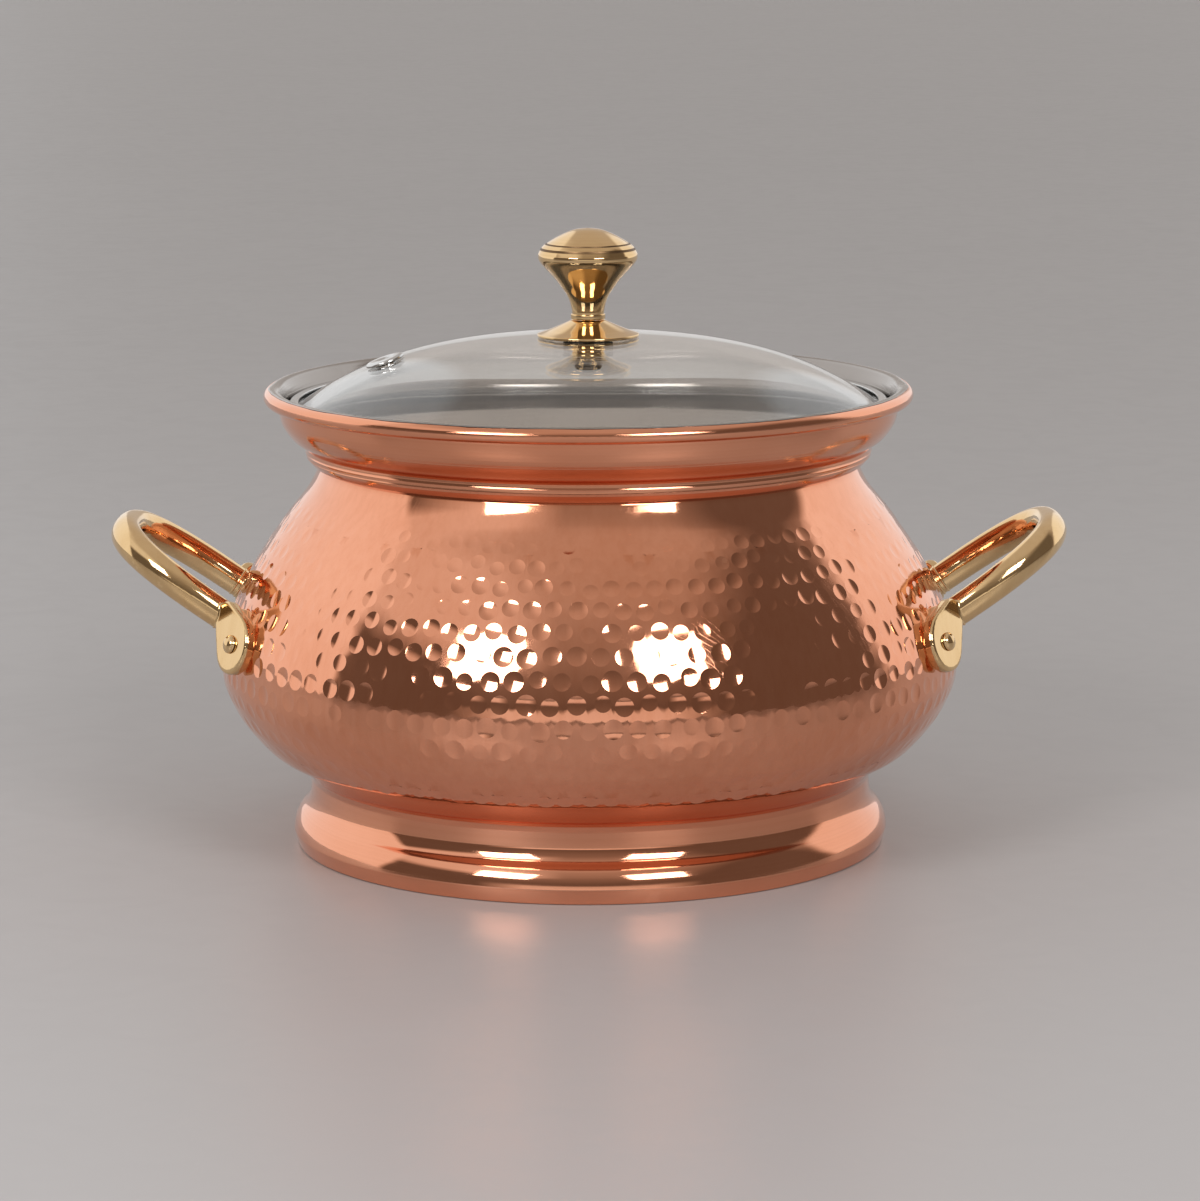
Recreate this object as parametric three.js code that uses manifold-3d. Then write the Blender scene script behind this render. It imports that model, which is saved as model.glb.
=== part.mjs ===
// A copper serving handi: a hammered, tin-lined bowl on a spun foot, with two cast brass
// loop handles and a domed glass lid that carries a turned brass knob.
// Millimetres, +Z up. The origin is the centre of the foot on the table, and +X points at a handle.

import * as THREE from "three";
import { mergeVertices } from "three/addons/utils/BufferGeometryUtils.js";
import Module from "manifold-3d";

const wasm = await Module();
wasm.setup();

// Gaps and helpers shared by all pieces
const SEAT_GAP = 0.3;
const CUT_OVERRUN = 2;
const RIGHT_ANGLE = Math.PI / 2;
const BODY_SIDES = 36;
const KNOB_SIDES = 24;
const SMALL_SIDES = 16;

// The lid is a standard size, and the mouth of the pot is made to take it
const LID_RADIUS = 91.4;
const LID_SIDE_GAP = 0.45;

// Foot ring, up to where its flange meets the bowl
const FOOT_WALL = 1.2;
const FOOT_JOINT_RADIUS = 88.3;
const FOOT_WAIST_INSET = 1.9;
const FOOT_EDGE_STEP = 0.2;
const FOOT_FLARE = 5.6;
const FOOT_BASE_INSET = 1.4;
const FOOT_HEM_WIDTH = 6;
const FOOT_BULGE_HEIGHT = 4.5;
const FOOT_EDGE_HEIGHT = 16.8;
const FOOT_BAND_HEIGHT = 3.7;
const FOOT_JOINT_RISE = 5.1;
const FOOT_FLANGE_RISE = 3.9;
const FOOT_FLARE_SHARES = [[0.15, 0.05], [0.35, 0.24], [0.55, 0.63], [0.76, 0.89]];
const FOOT_FLANGE_SHARES = [[0.3, 0.13], [0.65, 0.5]];

// Bowl: outside radii, and heights above the table
const COPPER_WALL = 1.2;
const FLOOR_RADIUS = 54;
const FLOOR_DROP = 0.3;
const BELLY_RADIUS = 113.2;
const BELLY_HEIGHT = 54;
const NECK_INSET = 8.9;
const NECK_HEIGHT = 117;
const FLOOR_CURVE_SHARES = [[0.42, 0.14], [0.74, 0.45]];
const LOWER_CURVE_SHARES = [[0.16, 0.396], [0.405, 0.675], [0.66, 0.87]];
const SHOULDER_CURVE_SHARES = [[0.225, 0.062], [0.477, 0.284], [0.729, 0.625], [0.884, 0.874]];
const BOWL_CURVE_STEPS = 15;

// Neck band, the groove above it and the collar that flares to the lip
const BAND_STEP = 0.7;
const BAND_HEIGHT = 6;
const BAND_FLARE = 3.3;
const BAND_CURVE_SHARES = [[0.25, 0.6], [0.62, 0.94]];
const GROOVE_DEPTH = 0.6;
const GROOVE_WIDTH = 1;
const COLLAR_ROOM = 3.3;
const COLLAR_RISE = 12;
const COLLAR_CURVE_SHARES = [[0.13, 0.4], [0.33, 0.68], [0.55, 0.89], [0.78, 0.98]];
const COLLAR_CURVE_STEPS = 5;

// Rolled lip and the wire inside it
const LIP_OUTSET = 2.3;
const LIP_RISE = 2.5;
const LIP_ROLL_RADIUS = 2.3;
const LIP_SHEET = 1.1;
const LIP_START_ANGLE = (150 * Math.PI) / 180;
const LIP_END_ANGLE = (-115 * Math.PI) / 180;
const LIP_ROOT_ANGLE = (175 * Math.PI) / 180;
const LIP_STEPS = 5;
const WIRE_SIDES = 6;

// Tin lining
const LINING_WALL = 0.5;
const LINING_EDGE_ANGLE = (96 * Math.PI) / 180;
const LINING_STEPS = 3;

// Handles: a long loop of oval bar between two riveted lugs
const RIVET_RISE = 13.5;
const LUG_AZIMUTH = (22 * Math.PI) / 180;
const LUG_LEAN = (52 * Math.PI) / 180;
const LUG_PAD_RADIUS = 9;
const LUG_NECK_RADIUS = 5.4;
const LUG_NECK_RISE = 10.4;
const LUG_THICKNESS = 4.4;
const LUG_BACK = 2.4;
const LUG_BEVEL = 0.9;
const LUG_ARC_STEPS = 5;
const BAR_ROOT_AZIMUTH = (14.7 * Math.PI) / 180;
const BAR_ROOT_RISE = 6.4;
const BAR_STANDOFF = 4.8;
const BAR_HEEL = 5;
const BAR_WIDTH = 9.2;
const BAR_DEPTH = 8.2;
const BAR_SIDES = 10;
const BAR_STEPS = 24;
const KNUCKLE_EXTRA = 0.9;
const KNUCKLE_LENGTH = 1.8;
const KNUCKLE_PLACE = 4.4;
const HANDLE_REACH = 38.2;
const HANDLE_TILT = (35 * Math.PI) / 180;
const LOOP_POWER_SHARE = 0.78;

// Handle rivets
const RIVET_RADIUS = 2;
const RIVET_HEAD_RADIUS = 2.7;
const RIVET_HEAD_HEIGHT = 1.5;
const RIVET_INNER_HEAD_RADIUS = 3.8;
const RIVET_INNER_HEAD_HEIGHT = 1.3;
const RIVET_INNER_GAP = 0.7;
const RIVET_SIDES = 12;
const RIVET_DOME_SHARE = 0.6;

// Lid: glass dome in a folded steel band
const LID_BAND_SHEET = 0.6;
const LID_BAND_FLANGE = 2.8;
const GLASS_THICKNESS = 4;
const GLASS_FLAT = 3;
const DOME_RISE = 19.6;
const DOME_POWER = 3;
const DOME_STEPS = 8;
const GLASS_HOLE_RADIUS = 4;

// Steam vent in the glass
const VENT_INSET = 28.5;
const VENT_AZIMUTH = (185 * Math.PI) / 180;
const VENT_HOLE_RADIUS = 3;
const VENT_TUBE_WALL = 0.9;
const VENT_FLANGE_RADIUS = 6;
const VENT_FLANGE_HEIGHT = 1.1;
const VENT_FLARE_RADIUS = 4.9;
const VENT_FLARE_HEIGHT = 0.5;
const VENT_RING_RADIUS = 5.8;
const VENT_RING_THICKNESS = 0.6;

// Knob, its cone base and what clamps it through the glass
const SCREW_RADIUS = 2;
const SCREW_HEAD_RADIUS = 4.3;
const SCREW_HEAD_HEIGHT = 2.4;
const SCREW_CROSS_WIDTH = 0.9;
const SCREW_CROSS_LENGTH = 4.6;
const SCREW_CROSS_DEPTH = 1.3;
const SCREW_GRIP = 11;
const GASKET_RADIUS = 7.6;
const GASKET_THICKNESS = 1;
const WASHER_RADIUS = 6.4;
const WASHER_THICKNESS = 0.8;
const CONE_RADIUS = 15.6;
const CONE_EDGE = 0.8;
const CONE_TOP_RADIUS = 5.2;
const CONE_HEIGHT = 3.6;
const CONE_CURVE_SHARES = [[0.1, 0.3], [0.3, 0.62], [0.6, 0.86]];
const KNOB_HEIGHT = 27.8;
const KNOB_RADIUS = 15.2;
const KNOB_STEM_RADIUS = 4.9;
const KNOB_RING_RADIUS = 5.3;
const KNOB_RING_HEIGHT = 1.6;
const KNOB_EDGE_HEIGHT = 18.6;
const KNOB_CROWN_HEIGHT = 19.9;
const KNOB_STEM_SHARES = [
  [0.07, 0.01], [0.22, 0.07], [0.35, 0.165], [0.47, 0.305], [0.63, 0.5], [0.9, 0.91],
];
const KNOB_CROWN_SHARES = [[0.92, 0.27], [0.79, 0.455], [0.55, 0.72], [0.27, 0.935]];
const KNOB_GROOVE_DEPTH = 0.35;
const KNOB_GROOVE_SHARES = [0.92, 0.79];
const KNOB_GROOVE_WIDTH = 0.5;

// Finishes
const copper = new THREE.MeshStandardMaterial({ color: "#c9805a", metalness: 1, roughness: 0.16 });
const satinCopper = new THREE.MeshStandardMaterial({ color: "#bd7450", metalness: 1, roughness: 0.24 });
const tin = new THREE.MeshStandardMaterial({ color: "#a9a5a0", metalness: 1, roughness: 0.32 });
const brass = new THREE.MeshStandardMaterial({ color: "#d1a957", metalness: 1, roughness: 0.14 });
const steel = new THREE.MeshStandardMaterial({ color: "#b9b9b7", metalness: 1, roughness: 0.22 });
const rubber = new THREE.MeshStandardMaterial({ color: "#2c2a28", metalness: 0, roughness: 0.8 });
const glass = new THREE.MeshStandardMaterial({
  color: "#dfe9e6",
  metalness: 0,
  roughness: 0.02,
  transparent: true,
  opacity: 0.3,
});

const at = (radius, height) => new THREE.Vector2(radius, height);

// Points between two named corners, each [share of the height, share of the radius]
function between(start, end, shares) {
  return shares.map(([heightShare, radiusShare]) =>
    at(
      THREE.MathUtils.lerp(start.x, end.x, radiusShare),
      THREE.MathUtils.lerp(start.y, end.y, heightShare),
    ),
  );
}

// Points on a circle in the profile plane, angles measured from the outward direction
function arc(centre, radius, from, to, steps) {
  const points = [];
  for (let i = 0; i <= steps; i += 1) {
    const angle = THREE.MathUtils.lerp(from, to, i / steps);
    points.push(at(centre.x + radius * Math.cos(angle), centre.y + radius * Math.sin(angle)));
  }
  return points;
}

// The same path moved to its left by a distance
function offset(path, distance) {
  return path.map((point, i) => {
    const before = path[Math.max(i - 1, 0)];
    const after = path[Math.min(i + 1, path.length - 1)];
    const along = after.clone().sub(before).normalize();
    const x = point.x - along.y * distance;
    return at(point.x < SEAT_GAP ? 0 : x, point.y + along.x * distance);
  });
}

// Where a path that keeps rising in x or y first reaches a value of it
function reach(path, axis, value) {
  const i = path.findIndex((point, k) => k > 0 && point[axis] >= value && path[k - 1][axis] < value);
  const share = (value - path[i - 1][axis]) / (path[i][axis] - path[i - 1][axis]);
  return path[i - 1].clone().lerp(path[i], share);
}

// A profile turned round the Z axis. A ring's profile is closed, any other ends on the axis.
function turned(profile, sides, closed = false) {
  const points = closed ? [...profile, profile[0].clone()] : profile;
  return new THREE.LatheGeometry(points, sides).rotateX(RIGHT_ANGLE);
}

function solidOf(geometry) {
  const bare = geometry.index ? geometry.toNonIndexed() : geometry.clone();
  bare.deleteAttribute("normal");
  bare.deleteAttribute("uv");
  const merged = mergeVertices(bare);
  const mesh = new wasm.Mesh({
    numProp: 3,
    vertProperties: merged.attributes.position.array,
    triVerts: new Uint32Array(merged.index.array),
  });
  return new wasm.Manifold(mesh);
}

function geometryOf(solid) {
  const mesh = solid.getMesh();
  const geometry = new THREE.BufferGeometry();
  geometry.setAttribute("position", new THREE.BufferAttribute(mesh.vertProperties, 3));
  geometry.setIndex(new THREE.BufferAttribute(mesh.triVerts, 1));
  geometry.computeVertexNormals();
  return geometry;
}

// A cylinder along local Z, moved into place, as a cutting tool
function drill(radius, bottom, top, place) {
  const rod = new THREE.CylinderGeometry(radius, radius, top - bottom, RIVET_SIDES);
  rod.rotateX(RIGHT_ANGLE).translate(0, 0, (bottom + top) / 2).applyMatrix4(place);
  return solidOf(rod);
}

// A frame on a surface of revolution: X is level, Y climbs the surface and Z is its normal
function surfaceFrame(radius, height, azimuth, tilt) {
  const level = Math.cos(tilt);
  const normal = new THREE.Vector3(
    level * Math.cos(azimuth),
    level * Math.sin(azimuth),
    Math.sin(tilt),
  );
  const side = new THREE.Vector3(-Math.sin(azimuth), Math.cos(azimuth), 0);
  const climb = new THREE.Vector3().crossVectors(normal, side);
  return new THREE.Matrix4()
    .makeBasis(side, climb, normal)
    .setPosition(radius * Math.cos(azimuth), radius * Math.sin(azimuth), height);
}

// Places that follow from the sizes above
const waist = at(FOOT_JOINT_RADIUS - FOOT_WAIST_INSET, FOOT_EDGE_HEIGHT + FOOT_BAND_HEIGHT);
const footEdge = at(waist.x + FOOT_EDGE_STEP, FOOT_EDGE_HEIGHT);
const footJoint = at(FOOT_JOINT_RADIUS, waist.y + FOOT_JOINT_RISE);
const floorEdge = at(FLOOR_RADIUS, FOOT_EDGE_HEIGHT - FLOOR_DROP);
const belly = at(BELLY_RADIUS, BELLY_HEIGHT);
const neck = at(LID_RADIUS - NECK_INSET, NECK_HEIGHT);
const rivetHeight = BELLY_HEIGHT + RIVET_RISE;

// Outside of the bowl, from the middle of its floor to the neck
const bowlCurve = new THREE.SplineCurve([
  floorEdge,
  ...between(floorEdge, footJoint, FLOOR_CURVE_SHARES.map(([radius, rise]) => [rise, radius])),
  footJoint,
  ...between(footJoint, belly, LOWER_CURVE_SHARES),
  belly,
  ...between(belly, neck, SHOULDER_CURVE_SHARES),
  neck,
]);
const bowlPath = [at(0, floorEdge.y), ...bowlCurve.getPoints(BOWL_CURVE_STEPS)];

// Band, groove and collar, from the neck to the root of the lip
const bandFoot = at(neck.x + BAND_STEP, neck.y + BAND_STEP / 2);
const bandTop = at(bandFoot.x + BAND_FLARE, neck.y + BAND_HEIGHT);
const bandPath = [bandFoot, ...between(bandFoot, bandTop, BAND_CURVE_SHARES), bandTop];
const grooveFloor = at(bandTop.x - GROOVE_DEPTH, bandTop.y + GROOVE_WIDTH / 2);
const collarFoot = at(bandTop.x + GROOVE_WIDTH / 2, bandTop.y + GROOVE_WIDTH);
const collarTop = at(LID_RADIUS + COLLAR_ROOM, collarFoot.y + COLLAR_RISE);
const collarCurve = new THREE.SplineCurve([
  collarFoot,
  ...between(collarFoot, collarTop, COLLAR_CURVE_SHARES),
  collarTop,
]);
const collarPath = collarCurve.getPoints(COLLAR_CURVE_STEPS);
const lip = at(collarTop.x + LIP_OUTSET, collarTop.y + LIP_RISE);

// Inside of the copper: the same wall without the band's step and the groove
const copperInside = offset([...bowlPath, ...collarPath], COPPER_WALL);

// Radius and upward tilt of the bowl's outside at a height on its shoulder
function shoulderAt(height) {
  const low = reach(bowlPath, "y", height - LUG_PAD_RADIUS);
  const high = reach(bowlPath, "y", height + LUG_PAD_RADIUS);
  const radius = reach(bowlPath, "y", height).x;
  return { radius, tilt: Math.atan2(low.x - high.x, high.y - low.y) };
}

const shoulder = shoulderAt(rivetHeight);
const lugFrame = (azimuth) =>
  surfaceFrame(shoulder.radius, rivetHeight, azimuth, shoulder.tilt);
const LUG_AZIMUTHS = {
  right_front: -LUG_AZIMUTH,
  right_rear: LUG_AZIMUTH,
  left_front: Math.PI + LUG_AZIMUTH,
  left_rear: Math.PI - LUG_AZIMUTH,
};

// Round holes through the wall for the four rivets
function rivetHoles() {
  const reach = COPPER_WALL + LINING_WALL + LUG_THICKNESS;
  return Object.values(LUG_AZIMUTHS).map((azimuth) =>
    drill(RIVET_RADIUS + SEAT_GAP, -reach, reach, lugFrame(azimuth)),
  );
}

function pierced(geometry) {
  return geometryOf(rivetHoles().reduce((left, hole) => left.subtract(hole), solidOf(geometry)));
}

function vesselShell() {
  const rollHollow = LIP_ROLL_RADIUS - LIP_SHEET;
  const profile = [
    ...copperInside,
    ...arc(lip, LIP_ROLL_RADIUS, LIP_START_ANGLE, LIP_END_ANGLE, LIP_STEPS),
    ...arc(lip, rollHollow, LIP_END_ANGLE, LIP_ROOT_ANGLE, LIP_STEPS),
    ...[...collarPath].reverse(),
    grooveFloor,
    ...[...bandPath].reverse(),
    ...[...bowlPath].reverse(),
  ];
  return pierced(turned(profile.reverse(), BODY_SIDES));
}

// The lining lies on the copper, climbs the collar and thins out over the top of the lip
const liningInside = [
  ...offset(copperInside, SEAT_GAP + LINING_WALL),
  ...arc(
    lip,
    LIP_ROLL_RADIUS + SEAT_GAP + LINING_WALL,
    LIP_START_ANGLE,
    LINING_EDGE_ANGLE,
    LINING_STEPS,
  ),
];

function tinLining() {
  const outside = [
    ...offset(copperInside, SEAT_GAP),
    ...arc(
      lip,
      LIP_ROLL_RADIUS + SEAT_GAP,
      LIP_START_ANGLE,
      LINING_EDGE_ANGLE,
      LINING_STEPS,
    ),
  ];
  return pierced(turned([...outside, ...[...liningInside].reverse()], BODY_SIDES));
}

function rimWire() {
  const radius = LIP_ROLL_RADIUS - LIP_SHEET - SEAT_GAP;
  return new THREE.TorusGeometry(lip.x, radius, WIRE_SIDES, BODY_SIDES)
    .rotateZ(-RIGHT_ANGLE)
    .translate(0, 0, lip.y);
}

// Foot: a spun ring whose flange is brazed up against the bowl and whose hem turns in flat
function footRing() {
  const inner = waist.x - FOOT_WALL;
  const flangeHeight = footJoint.y + FOOT_FLANGE_RISE;
  const seat = offset(bowlPath, -SEAT_GAP);
  const rim = reach(seat, "y", flangeHeight);
  const under = seat.filter((point) => point.x > inner && point.y < flangeHeight);
  const bulge = at(waist.x + FOOT_FLARE, FOOT_BULGE_HEIGHT);
  const base = bulge.x - FOOT_BASE_INSET;
  const hem = base - FOOT_HEM_WIDTH;
  const profile = [
    rim,
    ...under.reverse(),
    reach(seat, "x", inner),
    at(inner, FOOT_EDGE_HEIGHT - FOOT_WALL),
    at(base - FOOT_WALL, FOOT_BULGE_HEIGHT),
    at(base - FOOT_WALL, FOOT_WALL),
    at(hem, FOOT_WALL),
    at(hem, 0),
    at(base, 0),
    bulge,
    ...between(footEdge, bulge, FOOT_FLARE_SHARES).reverse(),
    footEdge,
    waist,
    ...between(waist, rim, FOOT_FLANGE_SHARES),
  ];
  return turned(profile, BODY_SIDES, true);
}

// Outline of a lug: a round pad that narrows to the neck of the bar
function lugOutline() {
  const slope = Math.asin((LUG_PAD_RADIUS - LUG_NECK_RADIUS) / LUG_NECK_RISE);
  const shape = new THREE.Shape();
  shape.absarc(0, 0, LUG_PAD_RADIUS, Math.PI - slope, 2 * Math.PI + slope, false);
  shape.absarc(0, LUG_NECK_RISE, LUG_NECK_RADIUS, slope, Math.PI - slope, false);
  shape.closePath();
  return shape;
}

// The neck leans toward the other lug
const lugLean = (azimuth) => new THREE.Matrix4().makeRotationZ(Math.sign(azimuth) * LUG_LEAN);

function lug(azimuth) {
  return solidOf(
    new THREE.ExtrudeGeometry(lugOutline(), {
      depth: LUG_BACK + LUG_THICKNESS - LUG_BEVEL,
      curveSegments: LUG_ARC_STEPS,
      bevelEnabled: true,
      bevelThickness: LUG_BEVEL,
      bevelSize: LUG_BEVEL,
      bevelOffset: -LUG_BEVEL,
      bevelSegments: 1,
    })
      .translate(0, 0, -LUG_BACK)
      .applyMatrix4(lugLean(azimuth))
      .applyMatrix4(lugFrame(azimuth)),
  );
}

// Centre line of the bar of the handle on +X, from the front lug round to the rear one
function handlePath() {
  const root = new THREE.Vector3(0, BAR_ROOT_RISE, BAR_STANDOFF);
  const knuckle = root.applyMatrix4(lugFrame(BAR_ROOT_AZIMUTH));
  const place = (out, across) =>
    new THREE.Vector3(
      knuckle.x + out * Math.cos(HANDLE_TILT),
      knuckle.y * across,
      knuckle.z + out * Math.sin(HANDLE_TILT),
    );
  const loop = [];
  for (let i = 0; i <= BAR_STEPS; i += 1) {
    const angle = -RIGHT_ANGLE + (Math.PI * i) / BAR_STEPS;
    const out = HANDLE_REACH * Math.abs(Math.cos(angle)) ** LOOP_POWER_SHARE;
    const across = Math.sign(angle) * Math.abs(Math.sin(angle)) ** LOOP_POWER_SHARE;
    loop.push(place(out, across));
  }
  return new THREE.CatmullRomCurve3([place(-BAR_HEEL, -1), ...loop, place(-BAR_HEEL, 1)]);
}

function oval(width, depth) {
  const shape = new THREE.Shape();
  shape.absellipse(0, 0, depth / 2, width / 2, 0, 2 * Math.PI, false);
  return shape;
}

function bar(path) {
  return solidOf(
    new THREE.ExtrudeGeometry(oval(BAR_WIDTH, BAR_DEPTH), {
      steps: BAR_STEPS + LUG_ARC_STEPS,
      curveSegments: BAR_SIDES / 2,
      extrudePath: path,
    }),
  );
}

// The raised ring where the bar leaves its lug
function knuckleRing(path, share) {
  const turn = new THREE.Quaternion().setFromUnitVectors(
    new THREE.Vector3(0, 1, 0),
    path.getTangentAt(share),
  );
  const place = path.getPointAt(share);
  return solidOf(
    new THREE.CylinderGeometry(
      BAR_WIDTH / 2 + KNUCKLE_EXTRA / 2,
      BAR_WIDTH / 2 + KNUCKLE_EXTRA / 2,
      KNUCKLE_LENGTH,
      SMALL_SIDES,
    )
      .applyQuaternion(turn)
      .translate(place.x, place.y, place.z),
  );
}

// The handle on +X, shaped to the wall and drilled for its rivets. The other one is it, turned.
function handle() {
  const path = handlePath();
  const ring = KNUCKLE_PLACE / path.getLength();
  const wall = solidOf(turned([...offset(bowlPath, -SEAT_GAP), at(0, NECK_HEIGHT)], BODY_SIDES));
  const lugs = [-LUG_AZIMUTH, LUG_AZIMUTH];
  const rings = [ring, 1 - ring].map((share) => knuckleRing(path, share));
  const cast = [...lugs.map(lug), ...rings].reduce((sum, piece) => sum.add(piece), bar(path));
  const holes = lugs.map((azimuth) =>
    drill(RIVET_RADIUS + SEAT_GAP, -LUG_THICKNESS, LUG_THICKNESS + CUT_OVERRUN, lugFrame(azimuth)),
  );
  const shaped = [wall, ...holes].reduce((left, tool) => left.subtract(tool), cast);
  return geometryOf(shaped);
}

// A rivet from its set head inside the lining to its round head on the lug
function rivet(azimuth) {
  const inside = -(COPPER_WALL + SEAT_GAP + LINING_WALL + RIVET_INNER_GAP);
  const innerTop = inside - RIVET_INNER_HEAD_HEIGHT;
  const outside = LUG_THICKNESS + SEAT_GAP;
  const profile = [
    at(0, innerTop),
    at(RIVET_INNER_HEAD_RADIUS - RIVET_INNER_HEAD_HEIGHT, innerTop),
    at(RIVET_INNER_HEAD_RADIUS, inside),
    at(RIVET_RADIUS, inside),
    at(RIVET_RADIUS, outside),
    at(RIVET_HEAD_RADIUS, outside),
    at(RIVET_RADIUS, outside + RIVET_HEAD_HEIGHT * RIVET_DOME_SHARE),
    at(0, outside + RIVET_HEAD_HEIGHT),
  ];
  return turned(profile, RIVET_SIDES).applyMatrix4(lugFrame(azimuth));
}

// Height at which the band of the lid comes to rest on the lining of the collar
function lidSeatHeight() {
  const collar = liningInside.filter((point) => point.y > NECK_HEIGHT);
  return reach(collar, "x", LID_RADIUS + LID_SIDE_GAP).y;
}

const bandBottom = lidSeatHeight();
const glassBottom = bandBottom + LID_BAND_SHEET + SEAT_GAP;
const glassTop = glassBottom + GLASS_THICKNESS;
const glassRadius = LID_RADIUS - LID_BAND_SHEET - SEAT_GAP;
const domeRadius = glassRadius - GLASS_FLAT;
const apexTop = glassTop + DOME_RISE;
const apexBottom = apexTop - GLASS_THICKNESS;

// Height of the top of the glass at a distance from the middle, and its slope there
const domeHeight = (radius) => apexTop - DOME_RISE * (radius / domeRadius) ** DOME_POWER;
const domeSlope = (radius) => (DOME_POWER * (apexTop - domeHeight(radius))) / radius;
const ventRadius = glassRadius - VENT_INSET;
const ventTilt = RIGHT_ANGLE - Math.atan(domeSlope(ventRadius));
const ventFrame = surfaceFrame(ventRadius, domeHeight(ventRadius), VENT_AZIMUTH, ventTilt);

function lidGlass() {
  const outer = [at(glassRadius, glassTop)];
  for (let i = 0; i <= DOME_STEPS; i += 1) {
    const radius = THREE.MathUtils.lerp(domeRadius, GLASS_HOLE_RADIUS, i / DOME_STEPS);
    outer.push(at(radius, domeHeight(radius)));
  }
  const inner = offset(outer, GLASS_THICKNESS).reverse();
  inner[0].x = GLASS_HOLE_RADIUS;
  inner[inner.length - 1].x = glassRadius;
  const dome = turned([...outer, ...inner], BODY_SIDES, true);
  const vent = drill(VENT_HOLE_RADIUS, -GLASS_THICKNESS - CUT_OVERRUN, CUT_OVERRUN, ventFrame);
  return geometryOf(solidOf(dome).subtract(vent));
}

// The folded band that grips the edge of the glass above and below
function lidBand() {
  const inner = LID_RADIUS - LID_BAND_FLANGE;
  const web = LID_RADIUS - LID_BAND_SHEET;
  const topInside = glassTop + SEAT_GAP;
  const bandTopHeight = topInside + LID_BAND_SHEET;
  const profile = [
    at(inner, bandBottom),
    at(LID_RADIUS - LID_BAND_SHEET, bandBottom),
    at(LID_RADIUS, bandBottom + LID_BAND_SHEET),
    at(LID_RADIUS, topInside),
    at(LID_RADIUS - LID_BAND_SHEET, bandTopHeight),
    at(inner, bandTopHeight),
    at(inner, topInside),
    at(web, topInside),
    at(web, bandBottom + LID_BAND_SHEET),
    at(inner, bandBottom + LID_BAND_SHEET),
  ];
  return turned(profile, BODY_SIDES, true);
}

// Eyelet that lines the steam vent, drawn round local Z with the top of the glass at zero
function ventEyelet() {
  const tube = VENT_HOLE_RADIUS - SEAT_GAP;
  const bore = tube - VENT_TUBE_WALL;
  const below = -GLASS_THICKNESS - SEAT_GAP - VENT_RING_THICKNESS - SEAT_GAP;
  const profile = [
    at(bore, below - VENT_FLARE_HEIGHT),
    at(VENT_FLARE_RADIUS, below - VENT_FLARE_HEIGHT),
    at(VENT_FLARE_RADIUS, below),
    at(tube, below),
    at(tube, SEAT_GAP),
    at(VENT_FLANGE_RADIUS, SEAT_GAP),
    at(VENT_FLANGE_RADIUS, SEAT_GAP + VENT_FLANGE_HEIGHT / 2),
    at(VENT_FLANGE_RADIUS - VENT_FLANGE_HEIGHT / 2, SEAT_GAP + VENT_FLANGE_HEIGHT),
    at(bore + VENT_TUBE_WALL / 2, SEAT_GAP + VENT_FLANGE_HEIGHT),
    at(bore, SEAT_GAP),
  ];
  return turned(profile, SMALL_SIDES, true).applyMatrix4(ventFrame);
}

function ventRing() {
  const top = -GLASS_THICKNESS - SEAT_GAP;
  const profile = [
    at(VENT_HOLE_RADIUS, top - VENT_RING_THICKNESS),
    at(VENT_RING_RADIUS, top - VENT_RING_THICKNESS),
    at(VENT_RING_RADIUS, top),
    at(VENT_HOLE_RADIUS, top),
  ];
  return turned(profile, SMALL_SIDES, true).applyMatrix4(ventFrame);
}

// Heights of the stack that clamps the knob through the glass
const gasketBottom = apexTop + SEAT_GAP;
const coneBottom = gasketBottom + GASKET_THICKNESS + SEAT_GAP;
const coneTop = coneBottom + CONE_HEIGHT;
const knobBottom = coneTop + SEAT_GAP;
const lowerGasketBottom = apexBottom - SEAT_GAP - GASKET_THICKNESS;
const washerBottom = lowerGasketBottom - SEAT_GAP - WASHER_THICKNESS;
const screwShoulder = washerBottom - SEAT_GAP;

function disc(outer, inner, bottom, height) {
  const profile = [
    at(inner, bottom),
    at(outer, bottom),
    at(outer, bottom + height),
    at(inner, bottom + height),
  ];
  return turned(profile, KNOB_SIDES, true);
}

const gasket = (bottom) =>
  disc(GASKET_RADIUS, SCREW_RADIUS + SEAT_GAP, bottom, GASKET_THICKNESS);
const washer = () =>
  disc(WASHER_RADIUS, SCREW_RADIUS + SEAT_GAP, washerBottom, WASHER_THICKNESS);

// The base of the knob is a thin cone whose rim comes down round the gasket to the glass
function knobCone() {
  const bore = SCREW_RADIUS + SEAT_GAP;
  const rimBottom = domeHeight(CONE_RADIUS - CONE_EDGE) + SEAT_GAP;
  const rim = at(CONE_RADIUS, rimBottom + CONE_EDGE);
  const top = at(CONE_TOP_RADIUS, coneTop);
  const profile = [
    at(bore, coneBottom),
    at(GASKET_RADIUS, coneBottom),
    at(CONE_RADIUS - CONE_EDGE, rimBottom),
    at(CONE_RADIUS, rimBottom),
    rim,
    ...between(rim, top, CONE_CURVE_SHARES),
    top,
    at(bore, coneTop),
  ];
  return turned(profile, KNOB_SIDES, true);
}

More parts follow.
